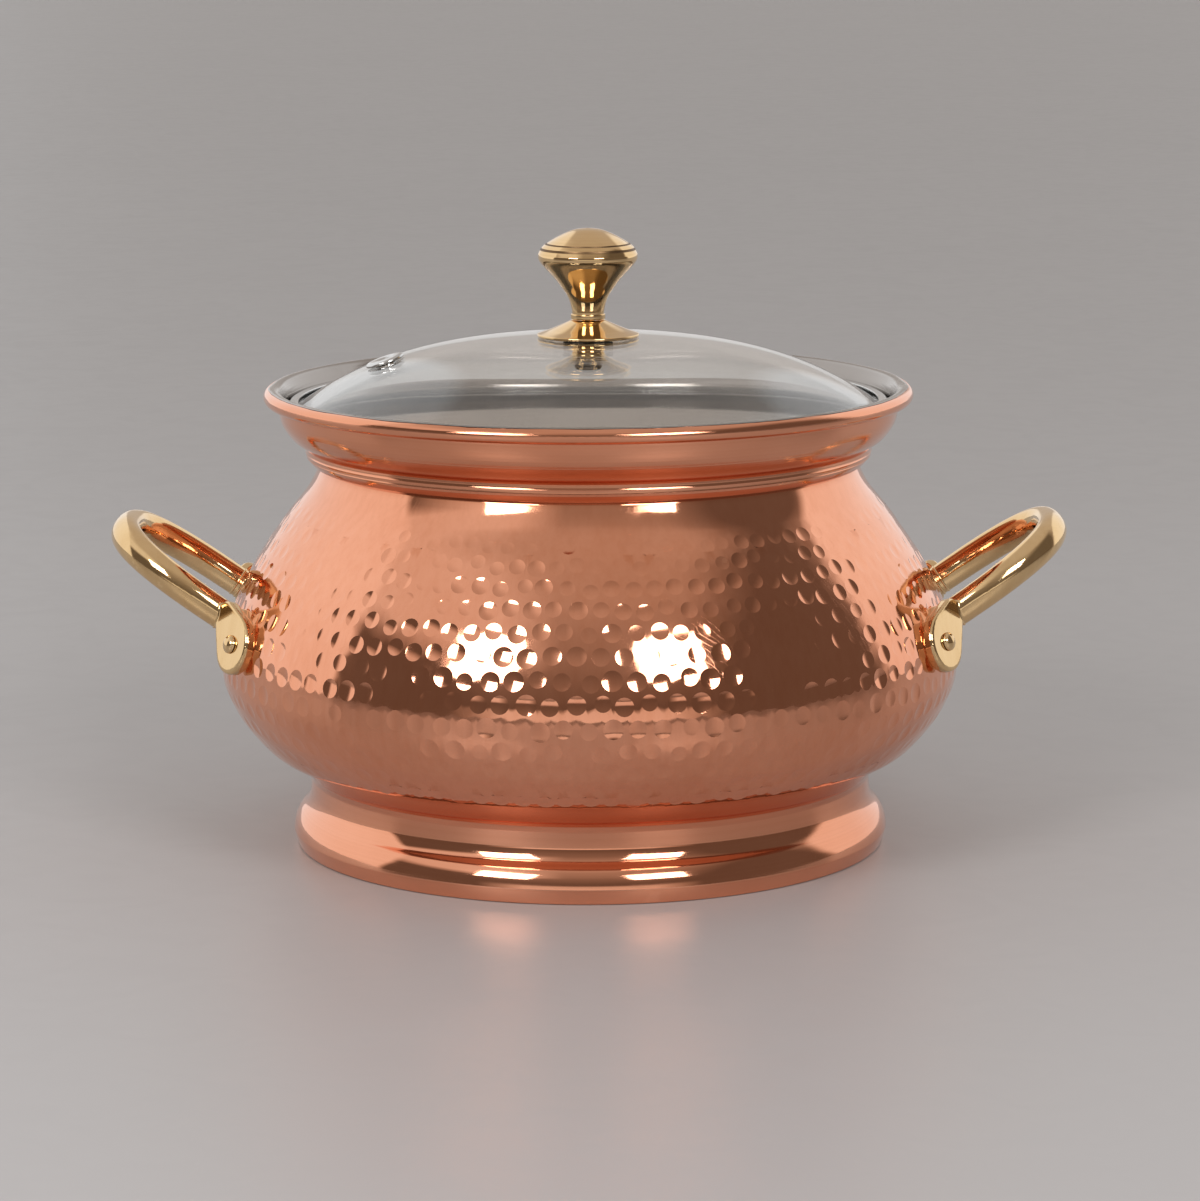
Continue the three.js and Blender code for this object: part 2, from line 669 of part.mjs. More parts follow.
// The knob, turned from a bar: ring, flared stem, sharp edge and a crown with two fine grooves
function knob() {
  const bore = SCREW_RADIUS + SEAT_GAP;
  const boreTop = knobBottom + SCREW_GRIP + SEAT_GAP;
  const stemFoot = at(KNOB_STEM_RADIUS, knobBottom + KNOB_RING_HEIGHT);
  const edge = at(KNOB_RADIUS, knobBottom + KNOB_EDGE_HEIGHT);
  const shoulderEdge = at(KNOB_RADIUS, knobBottom + KNOB_CROWN_HEIGHT);
  const crown = at(0, knobBottom + KNOB_HEIGHT);
  const grooves = KNOB_GROOVE_SHARES.flatMap((radiusShare, i) => {
    const heightShare = KNOB_CROWN_SHARES[i][1];
    const middle = between(shoulderEdge, crown, [[heightShare, 1 - radiusShare]])[0];
    return [
      at(middle.x + KNOB_GROOVE_WIDTH / 2, middle.y - KNOB_GROOVE_WIDTH / 4),
      at(middle.x, middle.y - KNOB_GROOVE_DEPTH),
      at(middle.x - KNOB_GROOVE_WIDTH / 2, middle.y + KNOB_GROOVE_WIDTH / 4),
    ];
  });
  const domed = KNOB_CROWN_SHARES.slice(KNOB_GROOVE_SHARES.length);
  const profile = [
    at(0, boreTop),
    at(bore, boreTop),
    at(bore, knobBottom),
    at(KNOB_RING_RADIUS - SEAT_GAP, knobBottom),
    at(KNOB_RING_RADIUS, knobBottom + SEAT_GAP),
    at(KNOB_RING_RADIUS, stemFoot.y - SEAT_GAP),
    stemFoot,
    ...between(stemFoot, edge, KNOB_STEM_SHARES),
    edge,
    shoulderEdge,
    ...grooves,
    ...between(shoulderEdge, crown, domed.map(([radius, height]) => [height, 1 - radius])),
    crown,
  ];
  return turned(profile, KNOB_SIDES);
}

// Machine screw with a cross recess, from below the washer up into the knob
function knobScrew() {
  const headBottom = screwShoulder - SCREW_HEAD_HEIGHT;
  const body = turned(
    [
      at(0, headBottom),
      at(SCREW_HEAD_RADIUS - SCREW_HEAD_HEIGHT / 2, headBottom),
      at(SCREW_HEAD_RADIUS, screwShoulder - SCREW_HEAD_HEIGHT / 2),
      at(SCREW_HEAD_RADIUS, screwShoulder),
      at(SCREW_RADIUS, screwShoulder),
      at(SCREW_RADIUS, knobBottom + SCREW_GRIP),
      at(0, knobBottom + SCREW_GRIP),
    ],
    SMALL_SIDES,
  );
  const depth = SCREW_CROSS_DEPTH + CUT_OVERRUN;
  const slot = new THREE.BoxGeometry(SCREW_CROSS_LENGTH, SCREW_CROSS_WIDTH, depth);
  slot.translate(0, 0, headBottom - CUT_OVERRUN + depth / 2);
  const crossed = slot.clone().rotateZ(RIGHT_ANGLE);
  return geometryOf(solidOf(body).subtract(solidOf(slot)).subtract(solidOf(crossed)));
}

const group = new THREE.Group();

function put(name, geometry, material) {
  const mesh = new THREE.Mesh(geometry, material);
  mesh.name = name;
  group.add(mesh);
  return mesh;
}

put("copper_body", vesselShell(), copper);
put("tin_lining", tinLining(), tin);
put("rim_wire", rimWire(), steel);
put("foot_ring", footRing(), satinCopper);
put("handle_right", handle(), brass);
put("handle_left", handle().rotateZ(Math.PI), brass);
for (const [place, azimuth] of Object.entries(LUG_AZIMUTHS)) {
  put(`handle_rivet_${place}`, rivet(azimuth), brass);
}
put("lid_glass", lidGlass(), glass);
put("lid_band", lidBand(), steel);
put("vent_eyelet", ventEyelet(), steel);
put("vent_ring", ventRing(), steel);
put("gasket_upper", gasket(gasketBottom), rubber);
put("gasket_lower", gasket(lowerGasketBottom), rubber);
put("knob_washer", washer(), steel);
put("knob_cone", knobCone(), brass);
put("knob", knob(), brass);
put("knob_screw", knobScrew(), steel);

export default group;
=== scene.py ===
import bisect
import math
import random

import bmesh
import bpy
from mathutils import Euler, Matrix, Vector, noise


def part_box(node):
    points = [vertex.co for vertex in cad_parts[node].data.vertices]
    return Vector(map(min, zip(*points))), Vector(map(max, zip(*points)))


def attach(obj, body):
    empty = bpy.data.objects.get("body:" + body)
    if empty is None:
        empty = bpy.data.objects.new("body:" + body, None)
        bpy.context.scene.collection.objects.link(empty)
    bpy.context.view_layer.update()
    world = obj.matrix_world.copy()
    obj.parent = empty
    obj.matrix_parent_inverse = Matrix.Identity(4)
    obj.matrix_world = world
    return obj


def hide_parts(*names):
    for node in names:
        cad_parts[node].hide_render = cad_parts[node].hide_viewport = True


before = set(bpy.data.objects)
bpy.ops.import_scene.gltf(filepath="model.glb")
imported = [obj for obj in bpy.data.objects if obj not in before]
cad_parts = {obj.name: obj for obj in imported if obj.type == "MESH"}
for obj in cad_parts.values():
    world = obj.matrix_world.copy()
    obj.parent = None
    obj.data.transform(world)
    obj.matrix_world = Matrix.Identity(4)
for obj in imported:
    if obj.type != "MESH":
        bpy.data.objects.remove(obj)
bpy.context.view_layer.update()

bl_info = {
    "name": "Copper handi",
    "version": (1, 0, 0),
    "blender": (4, 5, 0),
    "location": "3D View > Sidebar > Handi",
    "description": "Hammered copper serving pot with brass handles and a glass lid",
    "category": "Object",
}

TURN = 2 * math.pi
SEAT_GAP = 0.0003
VENT_RING_SHEET = 0.0006

# Outlines of the pot, each pair a share of the rise and a share of the change in radius
FLOOR_CURVE_SHARES = ((0.14, 0.42), (0.45, 0.74))
LOWER_CURVE_SHARES = ((0.16, 0.396), (0.405, 0.675), (0.66, 0.87))
SHOULDER_CURVE_SHARES = ((0.225, 0.062), (0.477, 0.284), (0.729, 0.625), (0.884, 0.874))
BAND_CURVE_SHARES = ((0.08, 0.28), (0.25, 0.62), (0.5, 0.88), (0.78, 1.0))
COLLAR_CURVE_SHARES = ((0.13, 0.4), (0.33, 0.68), (0.55, 0.89), (0.78, 0.98))
FLARE_CURVE_SHARES = ((0.15, 0.05), (0.35, 0.24), (0.55, 0.63), (0.76, 0.89))
FLANGE_CURVE_SHARES = ((0.3, 0.13), (0.65, 0.5))
KNOB_STEM_SHARES = (
    (0.07, 0.01),
    (0.22, 0.07),
    (0.35, 0.165),
    (0.47, 0.305),
    (0.63, 0.5),
    (0.9, 0.91),
)
KNOB_CROWN_SHARES = ((0.27, 0.08), (0.455, 0.21), (0.72, 0.45), (0.935, 0.73))
CONE_CURVE_SHARES = ((0.24, 0.29), (0.5, 0.55), (0.76, 0.79))

# Where the neck band's beads and the crown's grooves lie, in steps along their lines
BAND_STEPS, BEADS = 25, (16, 20)
CROWN_STEPS, GROOVES = 100, (16, 35)

# Each ring of a hammer mark, its share of the mark's radius and of its depth
MARK_RINGS = ((1.0, 0.0), (0.8, -0.36), (0.45, -0.8))

# How deep the marks are at each edge of the hammered band, and how fast that grows inwards
LOWER_EDGE, UPPER_EDGE = (0.3, 2.2), (0.15, 3.2)

# How fine the patches of weak marks and the waves of the wall are, and how much of the free room
# in its cell a mark strays
PATCH_SCALE, WAVE_SCALE, STRAY = (30, 30, 45), 75, 0.9

# Heights between which one finish of the copper passes into the other, and between which the tin
# passes into painted shade round the lid
NECK_FADE = (0.1165, 0.1175)
LID_SHADE_FADE = (0.124, 0.132)

# Each soft lamp and how many degrees it stands to the right of the camera
LAMPS = {"softbox_left": -35, "softbox_right": 27.5}

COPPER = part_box("copper_body")
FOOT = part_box("foot_ring")
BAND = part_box("lid_band")
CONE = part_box("knob_cone")
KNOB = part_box("knob")


def length(name, default, description):
    return bpy.props.FloatProperty(
        name=name, description=description, default=default, min=0, unit="LENGTH", precision=5
    )


def angle(name, default, description):
    return bpy.props.FloatProperty(
        name=name, description=description, default=math.radians(default), subtype="ANGLE"
    )


def count(name, default, description):
    return bpy.props.IntProperty(name=name, description=description, default=default, min=1)


def share(name, default, description):
    return bpy.props.FloatProperty(
        name=name, description=description, default=default, min=0, max=1, subtype="FACTOR"
    )


def colour(name, default, description):
    return bpy.props.FloatVectorProperty(
        name=name, description=description, default=default, size=3, min=0, max=1, subtype="COLOR"
    )


class HandiBowlSizes(bpy.types.PropertyGroup):
    sheet: length("Sheet", 0.0012, "Thickness of the copper")
    belly_radius: length("Belly radius", 0.1132, "Outside radius at the widest place")
    belly_height: length("Belly height", 0.054, "Height of the widest place")
    floor_radius: length("Floor radius", 0.054, "Radius of the flat floor")
    floor_height: length("Floor height", COPPER[0][2], "Underside of the floor")
    joint_radius: length("Foot joint radius", 0.0883, "Radius where the foot meets the bowl")
    joint_height: length("Foot joint height", 0.0256, "Height where the foot meets the bowl")
    neck_radius: length("Neck radius", 0.0825, "Outside radius under the neck band")
    neck_height: length("Neck height", 0.117, "Height where the shoulder ends")
    band_step: length("Band step", 0.0007, "Step from the shoulder out to the neck band")
    band_height: length("Band height", 0.006, "Height of the neck band")
    band_flare: length("Band flare", 0.0033, "How far the neck band opens")
    bead: length("Bead", 0.00022, "Height of the two fine beads on the neck band")
    groove: length("Groove", 0.0006, "Depth of the groove over the neck band")
    groove_width: length("Groove width", 0.001, "Width of the groove")
    collar_radius: length("Collar radius", 0.0947, "Outside radius at the top of the collar")
    collar_height: length("Collar height", 0.136, "Height of the top of the collar")
    lip_radius: length("Lip radius", 0.097, "Radius to the middle of the rolled lip")
    lip_height: length("Lip height", 0.1385, "Height of the middle of the rolled lip")
    roll_radius: length("Roll radius", 0.0023, "Radius of the rolled lip")
    roll_sheet: length("Roll sheet", 0.0011, "Thickness of the sheet in the roll")


class HandiHammerSizes(bpy.types.PropertyGroup):
    marks: count("Marks round", 98, "Hammer marks in one row")
    rows: count("Rows", 13, "Rows of hammer marks")
    low: length("Lowest row", 0.0302, "Height where the hammering starts")
    high: length("Highest row", 0.1086, "Height where the hammering ends")
    size: share("Mark size", 0.89, "Radius of a full mark, of the room it has")
    least: share("Smallest mark", 0.78, "Radius of the smallest marks, of a full one")
    depth: length("Mark depth", 0.00033, "Depth of a full hammer mark")
    wave: length("Wave", 0.00006, "Unevenness of the wall between the marks")
    seed: count("Seed", 7, "Seed of the hammering")


class HandiFootSizes(bpy.types.PropertyGroup):
    sheet: length("Sheet", 0.0012, "Thickness of the foot's copper")
    waist_radius: length("Waist radius", 0.0864, "Radius of the narrow band")
    waist_height: length("Waist height", 0.0205, "Top of the narrow band")
    edge_radius: length("Edge radius", 0.0866, "Radius of the crisp edge under the band")
    edge_height: length("Edge height", 0.0168, "Height of the crisp edge")
    bulge_radius: length("Bulge radius", 0.092, "Widest radius of the foot")
    bulge_height: length("Bulge height", 0.0045, "Height of the widest place")
    hem_radius: length("Hem radius", 0.0846, "Inside radius of the turned-in hem")
    base_radius: length("Base radius", 0.0906, "Radius of the face that it stands on")
    flange_height: length("Flange height", FOOT[1][2], "Top of the brazed flange")


class HandiHandleSizes(bpy.types.PropertyGroup):
    azimuth: angle("Lug azimuth", 22, "Angle from the side of the pot to each lug")
    lean: angle("Lug lean", 52, "Lean of a lug's neck toward the other lug")
    rivet_height: length("Rivet height", 0.0675, "Height of the rivets")
    pad_radius: length("Pad radius", 0.009, "Radius of the round end of a lug")
    neck_radius: length("Lug neck", 0.0054, "Radius of the narrow end of a lug")
    neck_rise: length("Neck rise", 0.0104, "From the rivet to the narrow end")
    thickness: length("Lug thickness", 0.0044, "Thickness of a lug")
    back: length("Lug back", 0.0024, "How deep a lug's back is shaped to the wall")
    plate: length("Lug plate", 0.0034, "Thickness of the part of a lug that stands out")
    undercut: length("Undercut", 0.0014, "How far a lug draws in under its plate")
    turn: angle("Face turn", 10, "Turn of a lug's face away from the other lug")
    bevel: length("Lug bevel", 0.0009, "Bevel round the face of a lug")
    root_azimuth: angle("Root azimuth", 14.7, "Angle from the side of the pot to the bar's root")
    root_rise: length("Root rise", 0.0064, "Root of the bar above the rivet")
    standoff: length("Standoff", 0.0048, "Root of the bar off the wall")
    heel: length("Heel", 0.005, "Length of the bar inside the lug")
    bar_width: length("Bar width", 0.0092, "Bar across the plane of the loop")
    bar_depth: length("Bar depth", 0.0082, "Bar in the plane of the loop")
    swell: share("Swell", 0.1, "How much thicker the bar is at its outer end")
    reach: length("Reach", 0.0382, "Length of the loop outwards")
    tilt: angle("Tilt", 35, "Rise of the loop")
    power: share("Loop squareness", 0.78, "One is a half ellipse, less is squarer")
    ring: length("Ring", 0.0036, "From the end of the heel to the first raised ring")
    ring_gap: length("Ring gap", 0.0016, "From one raised ring to the next")
    voxel: length("Casting grain", 0.00036, "Size of the cells that fuse bar and lugs")


class HandiLidSizes(bpy.types.PropertyGroup):
    band_radius: length("Band radius", BAND[1][0], "Outside radius of the steel band")
    band_sheet: length("Band sheet", 0.0006, "Thickness of the steel band")
    band_flange: length("Band flange", 0.0028, "Width of the band over the glass")
    band_bottom: length("Band bottom", BAND[0][2], "Height at which the lid rests")
    glass: length("Glass", 0.004, "Thickness of the glass")
    flat: length("Flat edge", 0.003, "Flat width at the edge of the glass")
    rise: length("Dome rise", 0.0196, "Rise of the dome")
    fullness: bpy.props.FloatProperty(
        name="Fullness", description="Two is a plain dish, more is flatter on top", default=3
    )
    hole: length("Knob hole", 0.004, "Radius of the hole for the knob's screw")
    vent_inset: length("Vent inset", 0.0285, "Vent in from the edge of the glass")
    vent_azimuth: angle("Vent azimuth", 185, "Where the vent is round the lid")
    vent_hole: length("Vent hole", 0.003, "Radius of the hole for the vent")
    vent_flange: length("Vent flange", 0.006, "Radius of the vent's rim")


class HandiKnobSizes(bpy.types.PropertyGroup):
    screw_radius: length("Screw radius", 0.002, "Radius of the screw")
    head_radius: length("Screw head", 0.0043, "Radius of the screw's head")
    head_height: length("Screw head height", 0.0024, "Height of the screw's head")
    grip: length("Screw grip", 0.011, "Length of the screw inside the knob")
    gasket_radius: length("Gasket radius", 0.0076, "Radius of the gaskets")
    gasket: length("Gasket", 0.001, "Thickness of a gasket")
    washer_radius: length("Washer radius", 0.0064, "Radius of the washer")
    washer: length("Washer", 0.0008, "Thickness of the washer")
    cone_radius: length("Cone radius", CONE[1][0], "Radius of the cone's rim")
    cone_edge: length("Cone edge", 0.0008, "Thickness of the cone's rim")
    cone_top: length("Cone top", 0.0052, "Radius of the cone's top")
    knob_radius: length("Knob radius", KNOB[1][0], "Widest radius of the knob")
    knob_bottom: length("Knob bottom", KNOB[0][2], "Underside of the knob")
    ring_radius: length("Ring radius", 0.0053, "Radius of the ring under the stem")
    ring_height: length("Ring height", 0.0016, "Height of that ring")
    stem_radius: length("Stem radius", 0.0049, "Narrowest radius of the stem")
    edge_height: length("Edge height", 0.0186, "Height of the knob's rounded edge")
    crown_height: length("Crown height", 0.0199, "Where the crown starts")
    height: length("Knob height", KNOB[1][2] - KNOB[0][2], "Height of the knob")
    groove: length("Groove", 0.0004, "Depth of the crown's fine grooves")


class HandiColours(bpy.types.PropertyGroup):
    copper: colour("Copper", (0.92, 0.425, 0.265), "Bright polished copper")
    copper_deep: colour("Deep copper", (0.72, 0.27, 0.14), "Copper where it is a little tarnished")
    brass: colour("Brass", (0.9, 0.65, 0.36), "Bright polished brass")
    brass_deep: colour("Deep brass", (0.66, 0.41, 0.17), "Brass in its hollows")
    # Dark brass painted into the knob's grooves: painted shade, together with polish dried there
    brass_groove_shade: colour("Dark brass", (0.2, 0.12, 0.06), "Brass where polish has dried in a groove")
    tin: colour("Tin", (0.66, 0.62, 0.58), "Wiped tin")
    # Grey tin for the tin's cloudy tone, also painted as shade on the tin above the lid
    tin_deep_and_shade: colour("Deep tin", (0.32, 0.29, 0.27), "Tin where it has gone grey")
    steel: colour("Steel", (0.76, 0.76, 0.75), "Polished steel")
    steel_deep: colour("Deep steel", (0.56, 0.56, 0.57), "Steel in its scratches")
    rubber: colour("Gasket", (0.03, 0.028, 0.026), "Black silicone")
    rubber_dusty: colour("Dusty gasket", (0.075, 0.07, 0.066), "Silicone with dust on it")
    glass: colour("Glass", (0.955, 0.953, 0.942), "Faint green of the glass")
    floor: colour("Floor", (0.45, 0.425, 0.42), "Pale floor")


class HandiStageSizes(bpy.types.PropertyGroup):
    distance: length("Distance", 1.3, "Camera in front of the pot's axis")
    height: length("Camera height", 0.3095, "Camera above the floor")
    side: length("Camera side", 0.0033, "Camera to the right of the axis")
    pitch: angle("Pitch", 10.28, "Camera looking down")
    roll: angle("Roll", 0.22, "Camera turned clockwise")
    focal_length: bpy.props.FloatProperty(
        name="Focal length", description="Lens in millimetres on a 36 mm sensor", default=128.23
    )
    floor_radius: length("Floor radius", 12.0, "Radius of the floor")


class HandiSettings(bpy.types.PropertyGroup):
    bowl: bpy.props.PointerProperty(type=HandiBowlSizes)
    hammer: bpy.props.PointerProperty(type=HandiHammerSizes)
    foot: bpy.props.PointerProperty(type=HandiFootSizes)
    handle: bpy.props.PointerProperty(type=HandiHandleSizes)
    lid: bpy.props.PointerProperty(type=HandiLidSizes)
    knob: bpy.props.PointerProperty(type=HandiKnobSizes)
    colours: bpy.props.PointerProperty(type=HandiColours)
    stage: bpy.props.PointerProperty(type=HandiStageSizes)


# Lines in the plane of radius and height


def point(radius, height):
    return Vector((radius, height))


def points(*pairs):
    return [Vector(pair) for pair in pairs]


def place_of(size, name):
    """The point that the radius and the height of a name give."""
    return point(getattr(size, f"{name}_radius"), getattr(size, f"{name}_height"))


def between(start, end, shares):
    """Points between two places, each a share of the rise and a share of the change in radius."""
    return [
        point(start.x + (end.x - start.x) * across, start.y + (end.y - start.y) * up)
        for up, across in shares
    ]


def smooth_line(places, steps):
    """An even curve through the places, in so many steps."""
    last = len(places) - 1
    line = []
    for step in range(steps + 1):
        passed = last * step / steps
        i = min(int(passed), last - 1)
        t = passed - i
        before, a, b = places[max(i - 1, 0)], places[i], places[i + 1]
        after = places[min(i + 2, last)]
        lean_a, lean_b = (b - before) / 2, (after - a) / 2
        line.append(
            a
            + lean_a * t
            + (3 * (b - a) - 2 * lean_a - lean_b) * t**2
            + (2 * (a - b) + lean_a + lean_b) * t**3
        )
    return line


def curve(start, end, shares, steps):
    """An even curve between two places, through shares of the way from one to the other."""
    return smooth_line([start, *between(start, end, shares), end], steps)


def arc(centre, radius, start, end, steps):
    """Points of a circle round a centre, angles in degrees from the outward direction."""
    angles = [math.radians(start + (end - start) * i / steps) for i in range(steps + 1)]
    return [centre + radius * point(math.cos(a), math.sin(a)) for a in angles]


def offset(line, distance):
    """The same line moved to its left."""
    moved = []
    for i, place in enumerate(line):
        along = (line[min(i + 1, len(line) - 1)] - line[max(i - 1, 0)]).normalized()
        radius = 0 if place.x < SEAT_GAP else place.x - along.y * distance
        moved.append(point(radius, place.y + along.x * distance))
    return moved


def eased(line, radius, steps=3, least_bend=20, closed=True):
    """An outline with its corners rounded where they bend by so many degrees or more."""
    made = []
    size = len(line)
    for i, corner in enumerate(line):
        before, after = line[i - 1], line[(i + 1) % size]
        back, ahead = before - corner, after - corner
        bend = 180 - math.degrees(back.angle(ahead)) if back.length and ahead.length else 0
        if bend < least_bend or (not closed and i in (0, size - 1)):
            made.append(corner)
            continue
        room = min(radius, back.length * 0.45, ahead.length * 0.45)
        start, end = corner + back.normalized() * room, corner + ahead.normalized() * room
        for step in range(steps + 1):
            t = step / steps
            made.append((1 - t) ** 2 * start + 2 * t * (1 - t) * corner + t**2 * end)
    return made


def reach(line, axis, value):
    """Where a line that keeps rising in radius (0) or height (1) first gets to a value."""
    for a, b in zip(line, line[1:]):
        if a[axis] < value <= b[axis]:
            return a.lerp(b, (value - a[axis]) / (b[axis] - a[axis]))
    raise ValueError(f"the line never reaches {value}")


class Outline:
    """A line that can be read by the distance along it."""

    def __init__(self, line):
        self.line = line
        self.marks = [0.0]
        for a, b in zip(line, line[1:]):
            self.marks.append(self.marks[-1] + (b - a).length)

    def distance(self, place):
        """How far along the line the point nearest to a place is."""
        nearest = min(range(len(self.line)), key=lambda i: (self.line[i] - place).length)
        return self.marks[nearest]

    def at(self, distance):
        """The point there and the direction that faces out."""
        line, marks = self.line, self.marks
        i = min(max(bisect.bisect_right(marks, distance) - 1, 0), len(marks) - 2)
        a, b = line[i], line[i + 1]
        t = (distance - marks[i]) / (marks[i + 1] - marks[i])
        before, after = line[max(i - 1, 0)], line[min(i + 2, len(line) - 1)]
        along = (b - before).lerp(after - a, t).normalized()
        return a.lerp(b, t), point(along.y, -along.x)


# The pot's own lines


def bowl_line(size, steps):
    """Outside of the bowl, from the edge of its floor to the neck."""
    names = ("floor", "joint", "belly", "neck")
    floor, joint, belly, neck = (place_of(size, name) for name in names)
    places = [
        floor,
        *between(floor, joint, FLOOR_CURVE_SHARES),
        joint,
        *between(joint, belly, LOWER_CURVE_SHARES),
        belly,
        *between(belly, neck, SHOULDER_CURVE_SHARES),
        neck,
    ]
    return smooth_line(places, steps)


def neck_line(size):
    """Outside of the neck band and the groove above it."""
    foot = point(size.neck_radius + size.band_step, size.neck_height + size.band_step / 2)
    top = point(foot.x + size.band_flare, size.neck_height + size.band_height)
    band = curve(foot, top, BAND_CURVE_SHARES, BAND_STEPS)
    for i in BEADS:
        band[i] += point(size.bead, -size.bead)
    groove = point(top.x - size.groove, top.y + size.groove_width / 2)
    return [*band, groove]


def collar_line(size, steps):
    """Outside of the collar, from the groove up to the lip."""
    foot = point(
        size.neck_radius + size.band_step + size.band_flare + size.groove_width / 2,
        size.neck_height + size.band_height + size.groove_width,
    )
    return curve(foot, place_of(size, "collar"), COLLAR_CURVE_SHARES, steps)


def inside_line(size, steps):
    """Inside of the copper from the middle of the floor to the lip."""
    outside = [point(0, size.floor_height), *bowl_line(size, steps), *collar_line(size, 8)]
    return offset(outside, size.sheet)


def wall_at(size, height, span):
    """Radius of the shoulder at a height, and how far it tips up over a span either way."""
    line = bowl_line(size, 120)
    low, high = reach(line, 1, height - span), reach(line, 1, height + span)
    return reach(line, 1, height).x, math.atan2(low.x - high.x, high.y - low.y)


def swung(place, azimuth):
    """A point of a line, swung round the axis."""
    return Vector((place.x * math.cos(azimuth), place.x * math.sin(azimuth), place.y))


def bearing(spot):
    """The angle at which a spot lies round the axis."""
    return math.atan2(spot.y, spot.x)


def frame_of(x, y, z, place):
    return Matrix.Translation(place) @ Matrix((x, y, z)).transposed().to_4x4()


def surface_frame(radius, height, azimuth, tilt):
    """A frame on a surface: X is level, Y climbs it and Z faces out."""
    across, ahead = math.cos(azimuth), math.sin(azimuth)
    normal = Vector((math.cos(tilt) * across, math.cos(tilt) * ahead, math.sin(tilt)))
    side = Vector((-ahead, across, 0))
    return frame_of(side, normal.cross(side), normal, (radius * across, radius * ahead, height))


# Mesh helpers


def turned(line, sides, closed=False):
    """A mesh turned round the Z axis from a line of radii and heights."""
    bm = bmesh.new()
    verts = [bm.verts.new((place.x, 0, place.y)) for place in line]
    pairs = list(zip(verts, verts[1:]))
    if closed:
        pairs.append((verts[-1], verts[0]))
    round_z = {"cent": (0, 0, 0), "axis": (0, 0, 1), "angle": TURN, "steps": sides}
    geom = verts + [bm.edges.new(pair) for pair in pairs]
    bmesh.ops.spin(bm, geom=geom, use_merge=True, use_duplicate=False, **round_z)
    close_up(bm)
    return bm


def turned_ring(outline, rounding, steps, sides, least_bend=20, place=None, bend=50):
    """A ring turned from a closed outline, its corners rounded, and put in its place."""
    bm = turned(eased(outline, rounding, steps, least_bend), sides, closed=True)
    if place:
        bmesh.ops.transform(bm, matrix=place, verts=bm.verts)
    crisp(bm, bend)
    return bm


def close_up(bm):
    """Merge what lies in one place, and turn the faces outwards."""
    bmesh.ops.remove_doubles(bm, verts=bm.verts, dist=1e-6)
    bmesh.ops.dissolve_degenerate(bm, edges=bm.edges, dist=1e-7)
    bmesh.ops.recalc_face_normals(bm, faces=bm.faces)


def grown(bm, edges):
    """Extrude a ring of edges where it is: the new vertices and the new edges."""
    made = bmesh.ops.extrude_edge_only(bm, edges=edges)["geom"]
    verts = [item for item in made if isinstance(item, bmesh.types.BMVert)]
    ring = set(verts)
    edges = [e for e in made if isinstance(e, bmesh.types.BMEdge) and ring.issuperset(e.verts)]
    return verts, edges


def crisp(bm, bend=38):
    """Smooth faces, with the sharp corners kept."""
    for face in bm.faces:
        face.smooth = True
    for edge in bm.edges:
        if edge.is_manifold and math.degrees(edge.calc_face_angle(0)) > bend:
            edge.smooth = False


def meshed(name, bm):
    """A mesh with the faces of a bmesh, which is spent."""
    mesh = bpy.data.meshes.new(name)
    bm.to_mesh(mesh)
    bm.free()
    return mesh


def linked(name, data):
    """A new object in the scene."""
    made = bpy.data.objects.new(name, data)
    bpy.context.scene.collection.objects.link(made)
    return made


def piece(bm, name, body, material, nodes):
    """Make an object of a mesh, finished, riding on its body and standing for its nodes."""
    made = linked(name, meshed(name, bm))
    made.data.materials.append(material)
    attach(made, body)
    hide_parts(*nodes)
    return made


def with_modifier(bm, kind, cutter=None, **values):
    """The mesh that one modifier makes of another, as a new bmesh."""
    made = [linked("working_piece", meshed("working_mesh", bm))]
    if cutter:
        made.append(linked("working_piece", meshed("working_mesh", cutter)))
        values["object"] = made[1]
    modifier = made[0].modifiers.new("working_step", kind)
    for name, value in values.items():
        setattr(modifier, name, value)
    seen = made[0].evaluated_get(bpy.context.evaluated_depsgraph_get())
    result = bmesh.new()
    result.from_mesh(seen.to_mesh())
    seen.to_mesh_clear()
    for working in made:
        mesh = working.data
        bpy.data.objects.remove(working)
        bpy.data.meshes.remove(mesh)
    return result


def cut(bm, cutter, **values):
    return with_modifier(bm, "BOOLEAN", cutter, operation="DIFFERENCE", solver="EXACT", **values)


def drill(radius, low, high, place, sides=32):
    """A rod that cuts a hole."""
    bm = bmesh.new()
    middle = place @ Matrix.Translation((0, 0, (low + high) / 2))
    ends = {"radius1": radius, "radius2": radius, "depth": high - low}
    bmesh.ops.create_cone(bm, cap_ends=True, segments=sides, matrix=middle, **ends)
    return bm


# Shared finishes


def group(name, inputs, outputs):
    """An empty effect, with its numbers in and its numbers out."""
    tree = bpy.data.node_groups.new(name, "ShaderNodeTree")
    for label, default in inputs:
        socket = tree.interface.new_socket(label, in_out="INPUT", socket_type="NodeSocketFloat")
        socket.default_value = default
    for label in outputs:
        tree.interface.new_socket(label, in_out="OUTPUT", socket_type="NodeSocketFloat")
    return tree, tree.nodes.new("NodeGroupInput").outputs, tree.nodes.new("NodeGroupOutput")


def node(tree, kind, sources=None, **values):
    """A node with its settings, and its sockets set or linked by name or number."""
    made = tree.nodes.new(kind)
    for name, value in values.items():
        setattr(made, name, value)
    for socket, source in (sources or {}).items():
        if isinstance(source, bpy.types.NodeSocket):
            tree.links.new(source, made.inputs[socket])
        else:
            made.inputs[socket].default_value = source
    return made


def maths(tree, operation, *values):
    return node(tree, "ShaderNodeMath", dict(enumerate(values)), operation=operation).outputs[0]


def blend(tree, factor, a, b):
    """A number between two others."""
    return node(tree, "ShaderNodeMix", {0: factor, 2: a, 3: b}).outputs[0]


def mixed(tree, factor, a, b):
    """A colour between two others, each a colour or a socket."""
    a, b = (c if isinstance(c, bpy.types.NodeSocket) else (*c, 1) for c in (a, b))
    return node(tree, "ShaderNodeMix", {0: factor, 6: a, 7: b}, data_type="RGBA").outputs[2]


